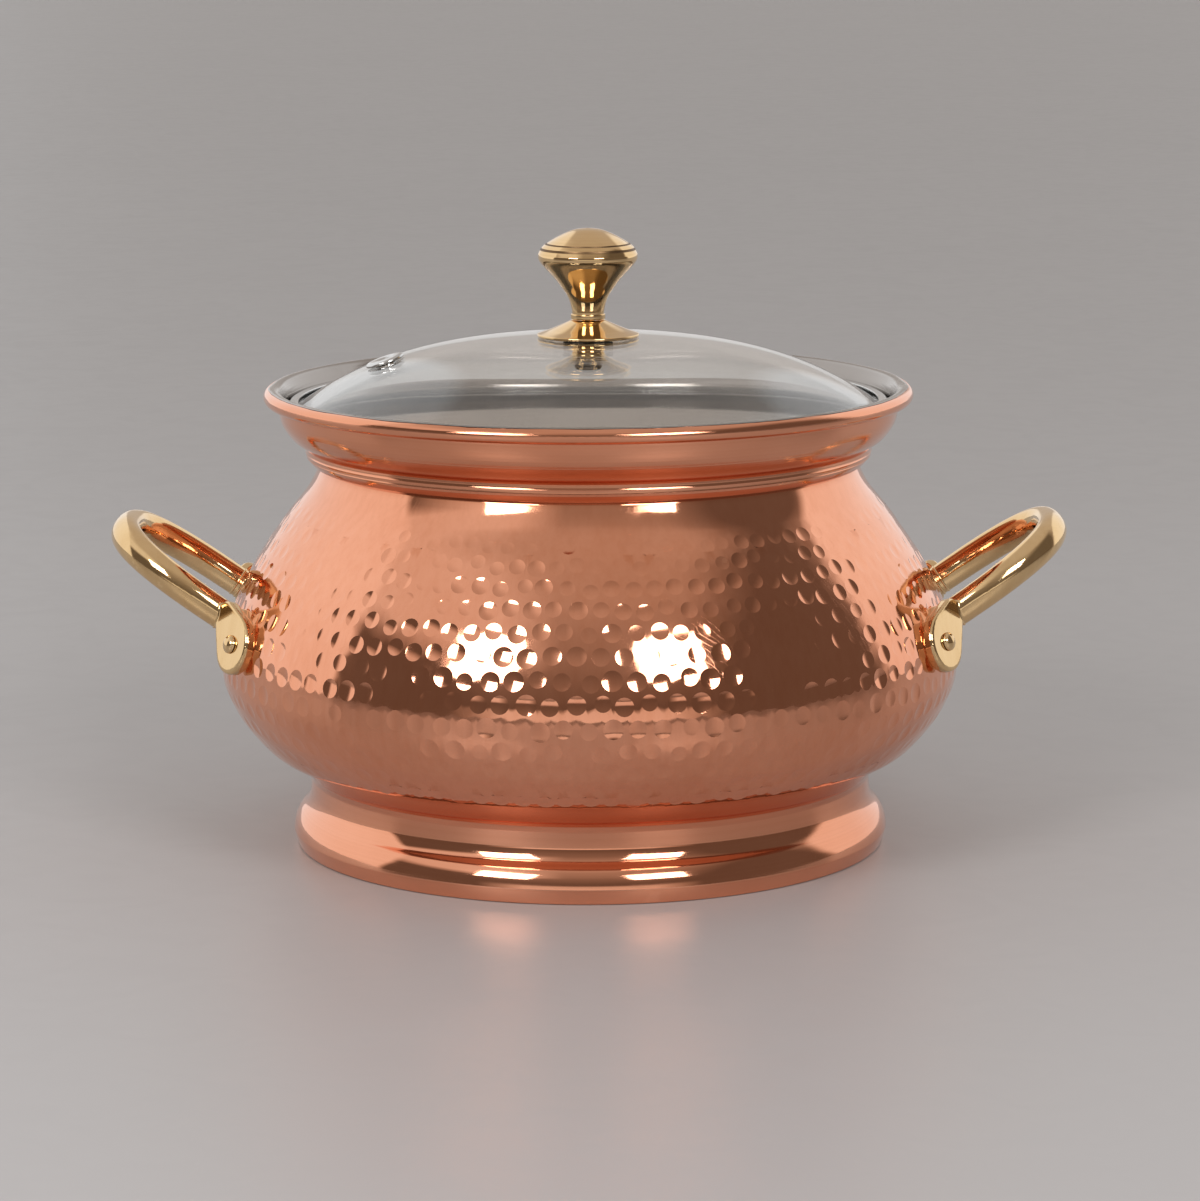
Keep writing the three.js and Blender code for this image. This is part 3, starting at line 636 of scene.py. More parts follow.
def scaled(tree, value, low, high, start=0.0, stop=1.0):
    """A number that goes from low to high while another goes from start to stop."""
    sources = {0: value, 1: start, 2: stop, 3: low, 4: high}
    return node(tree, "ShaderNodeMapRange", sources).outputs[0]


def cloudy(tree, place, scale, detail=2.0, roughness=0.5, distortion=0.0):
    """Noise, from about nought to one."""
    sources = {"Vector": place, "Scale": scale, "Detail": detail, "Roughness": roughness}
    return node(tree, "ShaderNodeTexNoise", {**sources, "Distortion": distortion}).outputs[0]


def own_place(tree):
    return node(tree, "ShaderNodeTexCoord").outputs["Object"]


def own_height(tree):
    return node(tree, "ShaderNodeSeparateXYZ", {0: own_place(tree)}).outputs[2]


def put_out(tree, sink, *values):
    """Link what a group has worked out to its outputs, in their order."""
    for socket, value in zip(sink.inputs, values):
        tree.links.new(value, socket)


def ramp(tree, factor, stops):
    """A ramp of grey values, each stop a place and a value."""
    made = tree.nodes.new("ShaderNodeValToRGB")
    elements = made.color_ramp.elements
    while len(elements) < len(stops):
        elements.new(0.5)
    for element, (place, value) in zip(elements, stops):
        element.position = place
        element.color = (value, value, value, 1)
    tree.links.new(factor, made.inputs[0])
    return made.outputs[0]


def tarnish_group():
    """Cloudy colour and roughness: broad clouds, small spots and smudges."""
    scales = [("Cloud Scale", 14.0), ("Spot Scale", 260.0)]
    tree, given, sink = group("Tarnish", scales, ["Clouds", "Spots", "Smudges"])
    place = own_place(tree)
    clouds = ramp(tree, cloudy(tree, place, given[0], 5.0), ((0.32, 0), (0.7, 1)))
    spots = ramp(tree, cloudy(tree, place, given[1], 3.0), ((0.58, 0), (0.74, 1)))
    smeared = cloudy(tree, place, 38.0, 6.0, distortion=1.6)
    put_out(tree, sink, clouds, spots, ramp(tree, smeared, ((0.42, 0), (0.68, 1))))
    return tree


def line_group(name, scale, laid, detail, roughness, stops):
    """Fine lines: noise at the place that laid() makes of the three axes."""
    tree, given, sink = group(name, [("Line Scale", scale)], ["Lines", "Height"])
    axes = node(tree, "ShaderNodeSeparateXYZ", {0: own_place(tree)}).outputs
    place = node(tree, "ShaderNodeCombineXYZ", laid(tree, axes)).outputs[0]
    lines = cloudy(tree, place, given[0], detail, roughness)
    put_out(tree, sink, ramp(tree, lines, stops), lines)
    return tree


def lathe_group():
    """Fine rings left by spinning or turning: they depend on radius and height alone."""

    def laid(tree, axes):
        squares = [maths(tree, "MULTIPLY", axes[i], axes[i]) for i in (0, 1)]
        return {0: maths(tree, "SQRT", maths(tree, "ADD", *squares)), 2: axes[2]}

    return line_group("Lathe lines", 900.0, laid, 4.0, 0.7, ((0.35, 0), (0.65, 1)))


def upright_group():
    """Fine lines that run up the wall, left by polishing along it."""

    def laid(tree, axes):
        return {0: axes[0], 1: axes[1], 2: maths(tree, "MULTIPLY", axes[2], 0.03)}

    return line_group("Upright lines", 420.0, laid, 5.0, 0.65, ((0.4, 0), (0.66, 1)))


def scratch_group():
    """Thin stray scratches in two directions."""
    tree, given, sink = group("Scratches", [("Scratch Scale", 60.0)], ["Scratches"])
    place = own_place(tree)
    found = []
    for turn, stretch in ((0.5, 7.0), (2.0, 9.0)):
        way = {"Rotation": (turn, turn * 0.7, turn * 1.3), "Scale": (1, stretch, 1)}
        laid = node(tree, "ShaderNodeMapping", {"Vector": place, **way}).outputs[0]
        cells = cloudy(tree, laid, given[0], 1.0, distortion=0.4)
        line = maths(tree, "ABSOLUTE", maths(tree, "SUBTRACT", cells, 0.5))
        found.append(ramp(tree, line, ((0.0, 1), (0.006, 0))))
    patches = ramp(tree, cloudy(tree, place, 25.0), ((0.5, 0), (0.62, 1)))
    put_out(tree, sink, maths(tree, "MULTIPLY", maths(tree, "MAXIMUM", *found), patches))
    return tree


def wear_group():
    """Where edges are rubbed bright and hollows stay deep."""
    tree, given, sink = group("Edge wear", [("Contrast", 1.0)], ["Edges", "Hollows"])
    bend = node(tree, "ShaderNodeNewGeometry").outputs["Pointiness"]
    away = maths(tree, "MULTIPLY", maths(tree, "SUBTRACT", bend, 0.5), given[0])
    centred = maths(tree, "ADD", away, 0.5)
    edges = ramp(tree, centred, ((0.51, 0), (0.56, 1)))
    put_out(tree, sink, edges, ramp(tree, centred, ((0.44, 1), (0.49, 0))))
    return tree


GROUPS = {
    "tarnish": tarnish_group,
    "lathe": lathe_group,
    "upright": upright_group,
    "scratch": scratch_group,
    "wear": wear_group,
}


def placed(tree, kind, **values):
    """One of the shared effects, placed in a material with its own values."""
    name = f"handi_{kind}"
    if name not in bpy.data.node_groups:
        GROUPS[kind]().name = name
    made = tree.nodes.new("ShaderNodeGroup")
    made.node_tree = bpy.data.node_groups[name]
    for label, value in values.items():
        made.inputs[label.replace("_", " ")].default_value = value
    return made.outputs


def blank(name):
    """A new material, its nodes and its shader."""
    material = bpy.data.materials.new(name)
    material.use_nodes = True
    tree = material.node_tree
    return material, tree, tree.nodes["Principled BSDF"]


def dress(tree, shader, tint, roughness, height=None, relief=0.0, depth=0.0):
    """Give a shader its colour, its roughness and what stands up from it."""
    tree.links.new(tint, shader.inputs["Base Color"])
    tree.links.new(roughness, shader.inputs["Roughness"])
    if height is not None:
        sources = {"Strength": relief, "Distance": depth, "Height": height}
        bump = node(tree, "ShaderNodeBump", sources)
        tree.links.new(bump.outputs[0], shader.inputs["Normal"])


def polished_and_spun(tree):
    """Lines that run up the wall, and above the neck lines that run round the collar."""
    upright = placed(tree, "upright", Line_Scale=420.0)
    spun = placed(tree, "lathe", Line_Scale=1100.0)
    collar = scaled(tree, own_height(tree), 0.0, 1.0, *NECK_FADE)
    weak = maths(tree, "MULTIPLY", upright["Height"], 0.05)
    strong = maths(tree, "MULTIPLY", spun["Height"], 3.0)
    return {
        "Lines": blend(tree, collar, upright["Lines"], spun["Lines"]),
        "Height": blend(tree, collar, weak, strong),
    }


def metal(name, bright, deep, smooth, rough, lines, line_scale, relief=0.02, depth=0.00004):
    """Polished metal: two tones in clouds, fine polishing lines, scratches and rubbed edges."""
    material, tree, shader = blank(name)
    tarnish, wear = placed(tree, "tarnish"), placed(tree, "wear")
    scratches = placed(tree, "scratch")["Scratches"]
    if lines == "both":
        drawn = polished_and_spun(tree)
    else:
        drawn = placed(tree, lines, Line_Scale=line_scale)
    streaks = maths(tree, "MULTIPLY", drawn["Lines"], 0.18)
    tone = maths(tree, "MULTIPLY_ADD", tarnish["Clouds"], 0.55, streaks)
    hollow = maths(tree, "MULTIPLY_ADD", wear["Hollows"], 0.35, tone)
    rubbed = [min(1, c * 1.12) for c in bright]
    edges = maths(tree, "MULTIPLY", wear["Edges"], 0.5)
    tint = mixed(tree, edges, mixed(tree, hollow, bright, deep), rubbed)
    smudges = maths(tree, "MULTIPLY", tarnish["Smudges"], 0.55)
    haze = maths(tree, "ADD", smudges, maths(tree, "MULTIPLY", drawn["Lines"], 0.3))
    marked = maths(tree, "MULTIPLY_ADD", scratches, 0.5, haze)
    height = maths(tree, "MULTIPLY_ADD", scratches, -0.1, drawn["Height"])
    dress(tree, shader, tint, scaled(tree, marked, smooth, rough), height, relief, depth)
    shader.inputs["Metallic"].default_value = 1.0
    return material


def paint_lid_shade(material, grey):
    """Paint shade on the metal of a material above the lid, turning it grey there."""
    tree = material.node_tree
    tint = tree.nodes["Principled BSDF"].inputs["Base Color"]
    # Painted shade: the tin turns grey above the lid, standing in for the shade round the lid
    rubbed = scaled(tree, own_height(tree), 0.0, 0.8, *LID_SHADE_FADE)
    tree.links.new(mixed(tree, rubbed, tint.links[0].from_socket, grey), tint)


# Each metal: bright and deep colour, least and most roughness, lines, their scale, relief and depth
METALS = {
    "copper": ("copper", "copper_deep", 0.035, 0.12, "both", None, 0.6),
    "spun": ("copper", "copper_deep", 0.035, 0.13, "lathe", 1100.0, 0.25),
    "brass": ("brass", "brass_deep", 0.045, 0.15, "upright", 300.0),
    "turned": ("brass", "brass_deep", 0.035, 0.12, "lathe", 1500.0, 0.08),
    # The grooves' finish paints shade, with dried polish, into the knob's grooves
    "groove": ("brass_groove_shade", "brass_groove_shade", 0.35, 0.6, "lathe", 1500.0),
    "steel": ("steel", "steel_deep", 0.1, 0.28, "lathe", 1300.0),
    "tin": ("tin", "tin_deep_and_shade", 0.1, 0.26, "lathe", 700.0, 0.9, 0.00015),
}


def finish(context, name):
    """A metal that more than one piece may share, made once."""
    label = f"handi_{name}"
    if label not in bpy.data.materials:
        colours = context.scene.handi.colours
        bright, deep, *values = METALS[name]
        material = metal(label, getattr(colours, bright), getattr(colours, deep), *values)
        # The tin gets painted shade above the lid
        if name == "tin":
            paint_lid_shade(material, colours.tin_deep_and_shade)
    return bpy.data.materials[label]


def silicone(colours):
    """Black silicone with a little dust on it."""
    material, tree, shader = blank("silicone")
    tarnish = placed(tree, "tarnish", Spot_Scale=900.0)
    tint = mixed(tree, tarnish["Clouds"], colours.rubber, colours.rubber_dusty)
    roughness = scaled(tree, tarnish["Smudges"], 0.55, 0.8)
    dress(tree, shader, tint, roughness, tarnish["Spots"], 0.2, 0.0001)
    return material


def clear_glass(colours):
    """Tempered glass with faint wipe marks."""
    material, tree, shader = blank("clear_glass")
    clouds = placed(tree, "tarnish", Cloud_Scale=20.0)["Clouds"]
    tint = mixed(tree, clouds, colours.glass, [c * 0.985 for c in colours.glass])
    dress(tree, shader, tint, scaled(tree, clouds, 0.0, 0.01))
    shader.inputs["Transmission Weight"].default_value = 1.0
    shader.inputs["IOR"].default_value = 1.5
    return material


# Copper


def unrolled_wall(line, hammer):
    """The hammered band as a straight tube of brick-shaped cells, one to each mark."""
    start = line.distance(reach(line.line, 1, hammer.low))
    stop = line.distance(reach(line.line[len(line.line) // 3 :], 1, hammer.high))
    tall = stop - start
    pitch, step = tall / hammer.rows, TURN / (2 * hammer.marks)
    radius = line.at(start)[0].x
    ends = {"radius1": radius, "radius2": radius, "depth": tall}
    bm = bmesh.new()
    bmesh.ops.create_cone(bm, cap_ends=False, segments=2 * hammer.marks, **ends)
    uprights = [e for e in bm.edges if abs(e.verts[0].co.z - e.verts[1].co.z) > tall / 2]
    bmesh.ops.subdivide_edges(bm, edges=uprights, cuts=hammer.rows - 1)
    bmesh.ops.translate(bm, verts=bm.verts, vec=(0, 0, tall / 2))
    # Every second upright goes, and the next row loses the others, as in a brick wall
    joints = []
    for edge in bm.edges:
        a, b = (vert.co for vert in edge.verts)
        row, column = int((a.z + b.z) / 2 / pitch), round(bearing(a) / step - 0.25)
        if abs(a.z - b.z) > pitch / 2 and (row + column) % 2:
            joints.append(edge)
    bmesh.ops.dissolve_edges(bm, edges=joints, use_verts=False)
    inner = [e for e in bm.edges if not e.is_boundary]
    bmesh.ops.bisect_edges(bm, edges=inner, cuts=2)
    return bm, start, tall


def strength(way, least, growth):
    """How deep a mark is, of a full one, part of the way in from an edge of the band."""
    return min(1, least + growth * way)


class Mark:
    """One blow of the hammer: where it fell, how wide and how deep."""

    def __init__(self, face, line, start, tall, hammer, chance):
        middle = face.calc_center_median()
        self.face = face
        self.round = line.at(start + middle.z)[0].x
        # The marks are shallower toward both edges of the hammered band, and in patches
        patch = noise.noise([place * scale for place, scale in zip(middle, PATCH_SCALE)])
        up = middle.z / tall
        strong = strength(up, *LOWER_EDGE) * strength(1 - up, *UPPER_EDGE)
        weight = chance.random()
        self.depth = hammer.depth * strong * max(0.2, 0.25 + 0.75 * weight + 0.5 * patch)
        # A mark smaller than its cell strays from the middle of it
        room_round = math.pi * self.round / hammer.marks
        room_along = tall / hammer.rows / 2
        least = hammer.least + (1 - hammer.least) * weight
        self.radius = hammer.size * min(room_round, room_along) * least
        stray = chance.uniform(-1, 1) * (room_round - self.radius) * STRAY
        self.turn = bearing(middle) + stray / self.round
        self.along = middle.z + chance.uniform(-1, 1) * (room_along - self.radius) * STRAY

    def ring(self, part, lift, tube_radius, layer):
        """Place the ring of the cell that was just inset, evenly spaced and without a twist."""
        verts = [loop.vert for loop in self.face.loops]
        angles = []
        for vert in verts:
            away = (bearing(vert.co) - self.turn + math.pi) % TURN - math.pi
            angles.append(math.atan2(vert.co.z - self.along, away * self.round))
        swept = sum(math.sin(b - a) for a, b in zip(angles, angles[1:] + angles[:1]))
        even = [math.copysign(TURN, swept) * i / len(verts) for i in range(len(verts))]
        ahead = [angle - step for angle, step in zip(angles, even)]
        twist = math.atan2(sum(map(math.sin, ahead)), sum(map(math.cos, ahead)))
        radius = part * self.radius
        for vert, step in zip(verts, even):
            turn = self.turn + radius * math.cos(twist + step) / self.round
            height = self.along + radius * math.sin(twist + step)
            vert.co = swung(point(tube_radius, height), turn)
            vert[layer] = lift * self.depth


def row_and_bearing(face):
    middle = face.calc_center_median()
    return round(middle.z, 5), bearing(middle)


def hammer_marks(bm, line, start, tall, hammer):
    """Sink a round mark with a crisp rim into every cell."""
    lift = bm.verts.layers.float.new("hammer_mark")
    chance = random.Random(hammer.seed)
    tube_radius = line.at(start)[0].x
    cells = sorted(bm.faces, key=row_and_bearing)
    marks = [Mark(face, line, start, tall, hammer, chance) for face in cells]
    rims = []
    for out, down in MARK_RINGS:
        bmesh.ops.inset_individual(bm, faces=cells, thickness=hammer.depth)
        for mark in marks:
            mark.ring(out, down, tube_radius, lift)
        rims = rims or [edge for face in cells for edge in face.edges]
    for vert in bmesh.ops.poke(bm, faces=cells)["verts"]:
        rim = vert.link_edges[0].other_vert(vert)[lift]
        vert[lift] = rim / -MARK_RINGS[-1][1] if rim else 0
    return lift, rims


def roll_up(bm, line, start, lift, wave):
    """Bend the straight tube into the bowl, each mark sunk along the wall's own normal."""
    tall = max(vert.co.z for vert in bm.verts)
    for vert in bm.verts:
        turn = bearing(vert.co)
        here, out = line.at(start + vert.co.z)
        # The wall's unevenness fades away in the last centimetre
        inside = min(1, vert.co.z * 100, (tall - vert.co.z) * 100)
        uneven = wave * inside * noise.noise(swung(here, turn) * WAVE_SCALE)
        vert.co = swung(here + out * (vert[lift] + uneven), turn)


def carry_on(bm, edges, line):
    """Extrude a ring of edges through the places of a line."""
    for place in line:
        verts, edges = grown(bm, edges)
        for vert in verts:
            vert.co = swung(place, bearing(vert.co))


class HANDI_OT_copper_body(bpy.types.Operator):
    """Raise the hammered bowl with its neck band, collar and rolled lip"""

    bl_idname = "handi.copper_body"
    bl_label = "Copper bowl"

    def execute(self, context):
        size, hammer = context.scene.handi.bowl, context.scene.handi.hammer
        line = Outline(bowl_line(size, 480))
        bm, start, tall = unrolled_wall(line, hammer)
        lift, mark_rims = hammer_marks(bm, line, start, tall, hammer)
        rims = [e for e in bm.edges if e.is_boundary]
        top = [e for e in rims if e.verts[0].co.z > tall / 2]
        bottom = [e for e in rims if e.verts[0].co.z < tall / 2]
        roll_up(bm, line, start, lift, hammer.wave)
        left = line.marks[-1] - start - tall
        neck = [line.at(start + tall + left * i / 7)[0] for i in range(1, 8)]
        lip = place_of(size, "lip")
        hollow = arc(lip, size.roll_radius - size.roll_sheet, 175, -115, 8)
        roll = arc(lip, size.roll_radius, -115, 150, 16)
        wall = [*neck, *neck_line(size), *collar_line(size, 12)]
        carry_on(bm, top, [*wall, *hollow, *roll, *reversed(inside_line(size, 18))])
        under = [line.at(start * i / 8)[0] for i in range(7, -1, -1)]
        carry_on(bm, bottom, [*under, point(0, size.floor_height)])
        for edge in mark_rims:
            edge.smooth = False
        close_up(bm)
        crisp(bm)
        copper = finish(context, "copper")
        piece(bm, "hammered_bowl", "pot", copper, ["copper_body"])
        return {"FINISHED"}


class HANDI_OT_tin_lining(bpy.types.Operator):
    """Lay the tin inside the bowl and over the top of the lip"""

    bl_idname = "handi.tin_lining"
    bl_label = "Tin lining"

    def execute(self, context):
        size = context.scene.handi.bowl
        lip = place_of(size, "lip")
        # How far the face of the tin and its back lie off the copper
        top, skin = SEAT_GAP + 0.0005, 0.00004
        copper = inside_line(size, 44)
        steps = 9
        over = arc(lip, size.roll_radius, 150, 80, steps)
        feather = [
            lip + (place - lip) * (1 + (top * (1 - i / steps) + 2 * skin) / size.roll_radius)
            for i, place in enumerate(over)
        ]
        under = [lip + (place - lip) * (1 + skin / size.roll_radius) for place in over]
        outline = [*offset(copper, top), *feather, *reversed([*offset(copper, skin), *under])]
        bm = turned(outline, 192)
        self.fray(bm, lip.x - size.roll_radius / 3, lip.y + size.roll_radius * 0.9)
        crisp(bm)
        piece(bm, "lining_of_tin", "pot", finish(context, "tin"), ["tin_lining"])
        return {"FINISHED"}

    def fray(self, bm, radius, height):
        """Make the edge of the tin uneven where it ends on the lip."""
        for vert in bm.verts:
            spot = vert.co
            if spot.z > height and spot.xy.length > radius:
                coarse = noise.noise((spot.x * 60, spot.y * 60, 0))
                fine = noise.noise((spot.x * 300, spot.y * 300, 3))
                out = spot.xy.length - (coarse + 0.4 * fine) * 0.0006
                vert.co.xy = spot.xy.normalized() * out


class HANDI_OT_foot(bpy.types.Operator):
    """Spin the foot ring with its flange, waist, flare and hem"""

    bl_idname = "handi.foot"
    bl_label = "Foot ring"

    def execute(self, context):
        size, bowl = context.scene.handi.foot, context.scene.handi.bowl
        seat = offset(bowl_line(bowl, 160), SEAT_GAP / 2)
        rim = reach(seat, 1, size.flange_height)
        inner = size.waist_radius - size.sheet
        base, hem = size.base_radius, size.hem_radius
        under = [place for place in seat if inner < place.x and place.y < size.flange_height]
        flange = curve(place_of(size, "waist"), rim, FLANGE_CURVE_SHARES, 14)
        edge, bulge = place_of(size, "edge"), place_of(size, "bulge")
        flare = curve(edge, bulge, FLARE_CURVE_SHARES, 22)
        inside = points(
            (inner, size.edge_height),
            (base - size.sheet, size.bulge_height),
            (base - size.sheet, size.sheet),
            (hem, size.sheet),
            (hem, 0),
            (base - size.sheet / 4, 0),
            (base + size.sheet / 4, size.sheet / 4),
        )
        seated = [*reversed(under[::4]), reach(seat, 0, inner)]
        outline = [*seated, *inside, *reversed(flare), *flange]
        bm = turned_ring(outline, 0.00035, 2, 192, bend=30)
        piece(bm, "spun_foot", "pot", finish(context, "spun"), ["foot_ring"])
        return {"FINISHED"}


# Handles


def lug_blank(size, place, less, low, high):
    """A block with a round end and a narrow neck, its upper edge bevelled."""
    slope = math.asin((size.pad_radius - size.neck_radius) / size.neck_rise)
    bm = bmesh.new()
    rim = []
    for centre, radius, start, end in (
        (0, size.pad_radius - less, math.pi - slope, TURN + slope),
        (size.neck_rise, size.neck_radius - less, slope, math.pi - slope),
    ):
        for i in range(17):
            swing = start + (end - start) * i / 16
            corner = (radius * math.cos(swing), centre + radius * math.sin(swing), low)
            rim.append(bm.verts.new(corner))
    raised = bmesh.ops.extrude_face_region(bm, geom=[bm.faces.new(rim)])["geom"]
    top = [item for item in raised if isinstance(item, bmesh.types.BMVert)]
    bmesh.ops.translate(bm, verts=top, vec=(0, 0, high - low))
    lid = next(item for item in raised if isinstance(item, bmesh.types.BMFace))
    rounding = {"affect": "EDGES", "segments": 2, "profile": 0.5, "material": -1}
    bmesh.ops.bevel(bm, geom=list(lid.edges), offset=size.bevel, **rounding)
    bmesh.ops.transform(bm, matrix=place, verts=bm.verts)
    return bm


def face_turn(size, sign):
    """The small turn of a lug's face away from the other lug, about the rivet."""
    out = Matrix.Translation((0, 0, size.thickness))
    return out @ Matrix.Rotation(sign * size.turn, 4, "Y") @ out.inverted()


def handle_path(size, root):
    """Middle of the bar, from the front lug out round the loop to the rear lug."""
    run, climb = math.cos(size.tilt), math.sin(size.tilt)

    def place(out, across):
        return Vector((root.x + out * run, root.y * across, root.z + out * climb))

    loop = []
    for i in range(25):
        swing = -math.pi / 2 + math.pi * i / 24
        out = size.reach * abs(math.cos(swing)) ** size.power
        loop.append(place(out, math.copysign(abs(math.sin(swing)) ** size.power, swing)))
    return smooth_line([place(-size.heel, -1), *loop, place(-size.heel, 1)], 156)


def bar_along(path, size):
    """The oval bar, extruded ring by ring along its path."""
    bm = bmesh.new()
    bmesh.ops.create_circle(bm, cap_ends=False, segments=28, radius=0.5)
    plane = Vector((-math.sin(size.tilt), 0, math.cos(size.tilt)))
    near, far = path[0].x, max(spot.x for spot in path)

    def place(i):
        ahead = (path[min(i + 1, len(path) - 1)] - path[max(i - 1, 0)]).normalized()
        across = (plane - ahead * plane.dot(ahead)).normalized()
        thick = 1 + size.swell * (path[i].x - near) / (far - near)
        wide, deep = across * size.bar_width * thick, across.cross(ahead) * size.bar_depth * thick
        return frame_of(wide, deep, ahead, path[i])

    bmesh.ops.transform(bm, matrix=place(0), verts=bm.verts)
    edges = list(bm.edges)
    for i in range(1, len(path)):
        verts, edges = grown(bm, edges)
        bmesh.ops.transform(bm, matrix=place(i) @ place(i - 1).inverted(), verts=verts)
    bmesh.ops.holes_fill(bm, edges=[e for e in bm.edges if e.is_boundary])
    return bm


def joined(parts):
    """Several meshes as one, not fused."""
    whole = bmesh.new()
    for part in parts:
        mesh = meshed("working_mesh", part)
        whole.from_mesh(mesh)
        bpy.data.meshes.remove(mesh)
    return whole


def knuckle_ring(size, place, ahead):
    """A fine raised line round the bar where it leaves the lug."""
    half, sunk = 0.0004, 0.0001
    bulge = arc(point(size.bar_width / 2 - sunk, 0), half, -90, 90, 8)
    bm = turned([point(0, -half), *bulge, point(0, half)], 48)
    slim = Matrix.Diagonal((1, size.bar_depth / size.bar_width, 1, 1))
    tall = Vector((-math.sin(size.tilt), 0, math.cos(size.tilt)))
    lain = frame_of(tall, ahead.cross(tall), ahead, place)
    bmesh.ops.transform(bm, matrix=lain @ slim, verts=bm.verts)
    return bm


def cast_handle(size, radius, tilt, flip):
    """The loop with its lugs fused on, and the two fine rings at each end."""
    parts = []
    for sign in (-1, 1):
        place = surface_frame(radius, size.rivet_height, sign * size.azimuth, tilt)
        lean = Matrix.Rotation(sign * size.lean, 4, "Z")
        under = size.thickness - size.plate
        face = place @ face_turn(size, sign) @ lean
        parts.append(lug_blank(size, face, 0, under, size.thickness))
        parts.append(lug_blank(size, place @ lean, size.undercut, -size.back, under + size.bevel))
    start = surface_frame(radius, size.rivet_height, size.root_azimuth, tilt)
    path = handle_path(size, start @ Vector((0, size.root_rise, size.standoff)))
    parts.append(bar_along(path, size))
    for part in parts:
        bmesh.ops.recalc_face_normals(part, faces=part.faces)
    cast = with_modifier(joined(parts), "REMESH", mode="VOXEL", voxel_size=size.voxel)
    every_way = {"use_axis_x": True, "use_axis_y": True, "use_axis_z": True}
    for _ in range(3):
        bmesh.ops.smooth_vert(cast, verts=cast.verts, factor=0.5, **every_way)
    rings = []
    ahead = Vector((math.cos(size.tilt), 0, math.sin(size.tilt)))
    for end in (path[0], path[-1]):
        for along in (size.ring, size.ring + size.ring_gap):
            rings.append(knuckle_ring(size, end + ahead * along, ahead))
    bm = joined([cast, *rings])
    if flip:
        bmesh.ops.rotate(bm, matrix=Matrix.Rotation(math.pi, 3, "Z"), verts=bm.verts)
    bmesh.ops.recalc_face_normals(bm, faces=bm.faces)
    crisp(bm, 60)
    return bm


class HANDI_OT_handles(bpy.types.Operator):
    """Cast the two brass loops with their lugs, and set their rivets"""

    bl_idname = "handi.handles"
    bl_label = "Handles and rivets"

    def execute(self, context):
        size, bowl = context.scene.handi.handle, context.scene.handi.bowl
        radius, tilt = wall_at(bowl, size.rivet_height, size.pad_radius)
        brass = finish(context, "brass")
        for side, flip in (("right", False), ("left", True)):
            bm = cast_handle(size, radius, tilt, flip)
            piece(bm, f"brass_loop_{side}", "pot", brass, [f"handle_{side}"])
            for end, sign in (("front", -1), ("rear", 1)):
                azimuth = math.pi - sign * size.azimuth if flip else sign * size.azimuth
                bm = self.rivet(size, bowl, -sign if flip else sign)
                place = surface_frame(radius, size.rivet_height, azimuth, tilt)
                bmesh.ops.transform(bm, matrix=place, verts=bm.verts)
                crisp(bm)
                name = f"rivet_{side}_{end}"
                piece(bm, name, "pot", brass, [f"handle_{name}"])
        return {"FINISHED"}

    def rivet(self, size, bowl, sign):
        """A rivet along Z: its button inside the bowl, its shank and its domed head."""
        shank, button, edge = 0.002, 0.0029, 0.0013
        dome, rise, clear = 0.0028, 0.0018, 0.0001
        inside = -(bowl.sheet + SEAT_GAP + 0.001)
        outside = size.thickness + clear
        lifts = [math.pi / 2 * i / 8 for i in range(8)]
        line = [
            point(0, inside - edge),
            *arc(point(button, inside), edge, -90, 0, 5),
            *points((shank, inside), (shank, outside), (dome - 2 * clear, outside)),
            *[point(dome * math.cos(a), outside + clear + rise * math.sin(a)) for a in lifts],
            point(0, outside + clear + rise),
        ]
        bm = turned(line, 32)
        head = [vert for vert in bm.verts if vert.co.z > outside - clear]
        bmesh.ops.transform(bm, matrix=face_turn(size, sign), verts=head)
        return bm


# Lid


def dome_height(lid, radius):
    """Top of the glass at a distance from the middle."""
    dome = lid.band_radius - lid.band_sheet - SEAT_GAP - lid.flat
    top = lid.band_bottom + lid.band_sheet + SEAT_GAP + lid.glass
    return top + lid.rise * (1 - (radius / dome) ** lid.fullness)


def vent_frame(lid):
    """The frame of the vent on the dome, its Z facing out."""
    radius = lid.band_radius - lid.band_sheet - SEAT_GAP - lid.vent_inset
    fall = dome_height(lid, 0) - dome_height(lid, radius)
    tilt = math.pi / 2 - math.atan(lid.fullness * fall / radius)
    return surface_frame(radius, dome_height(lid, radius), lid.vent_azimuth, tilt)


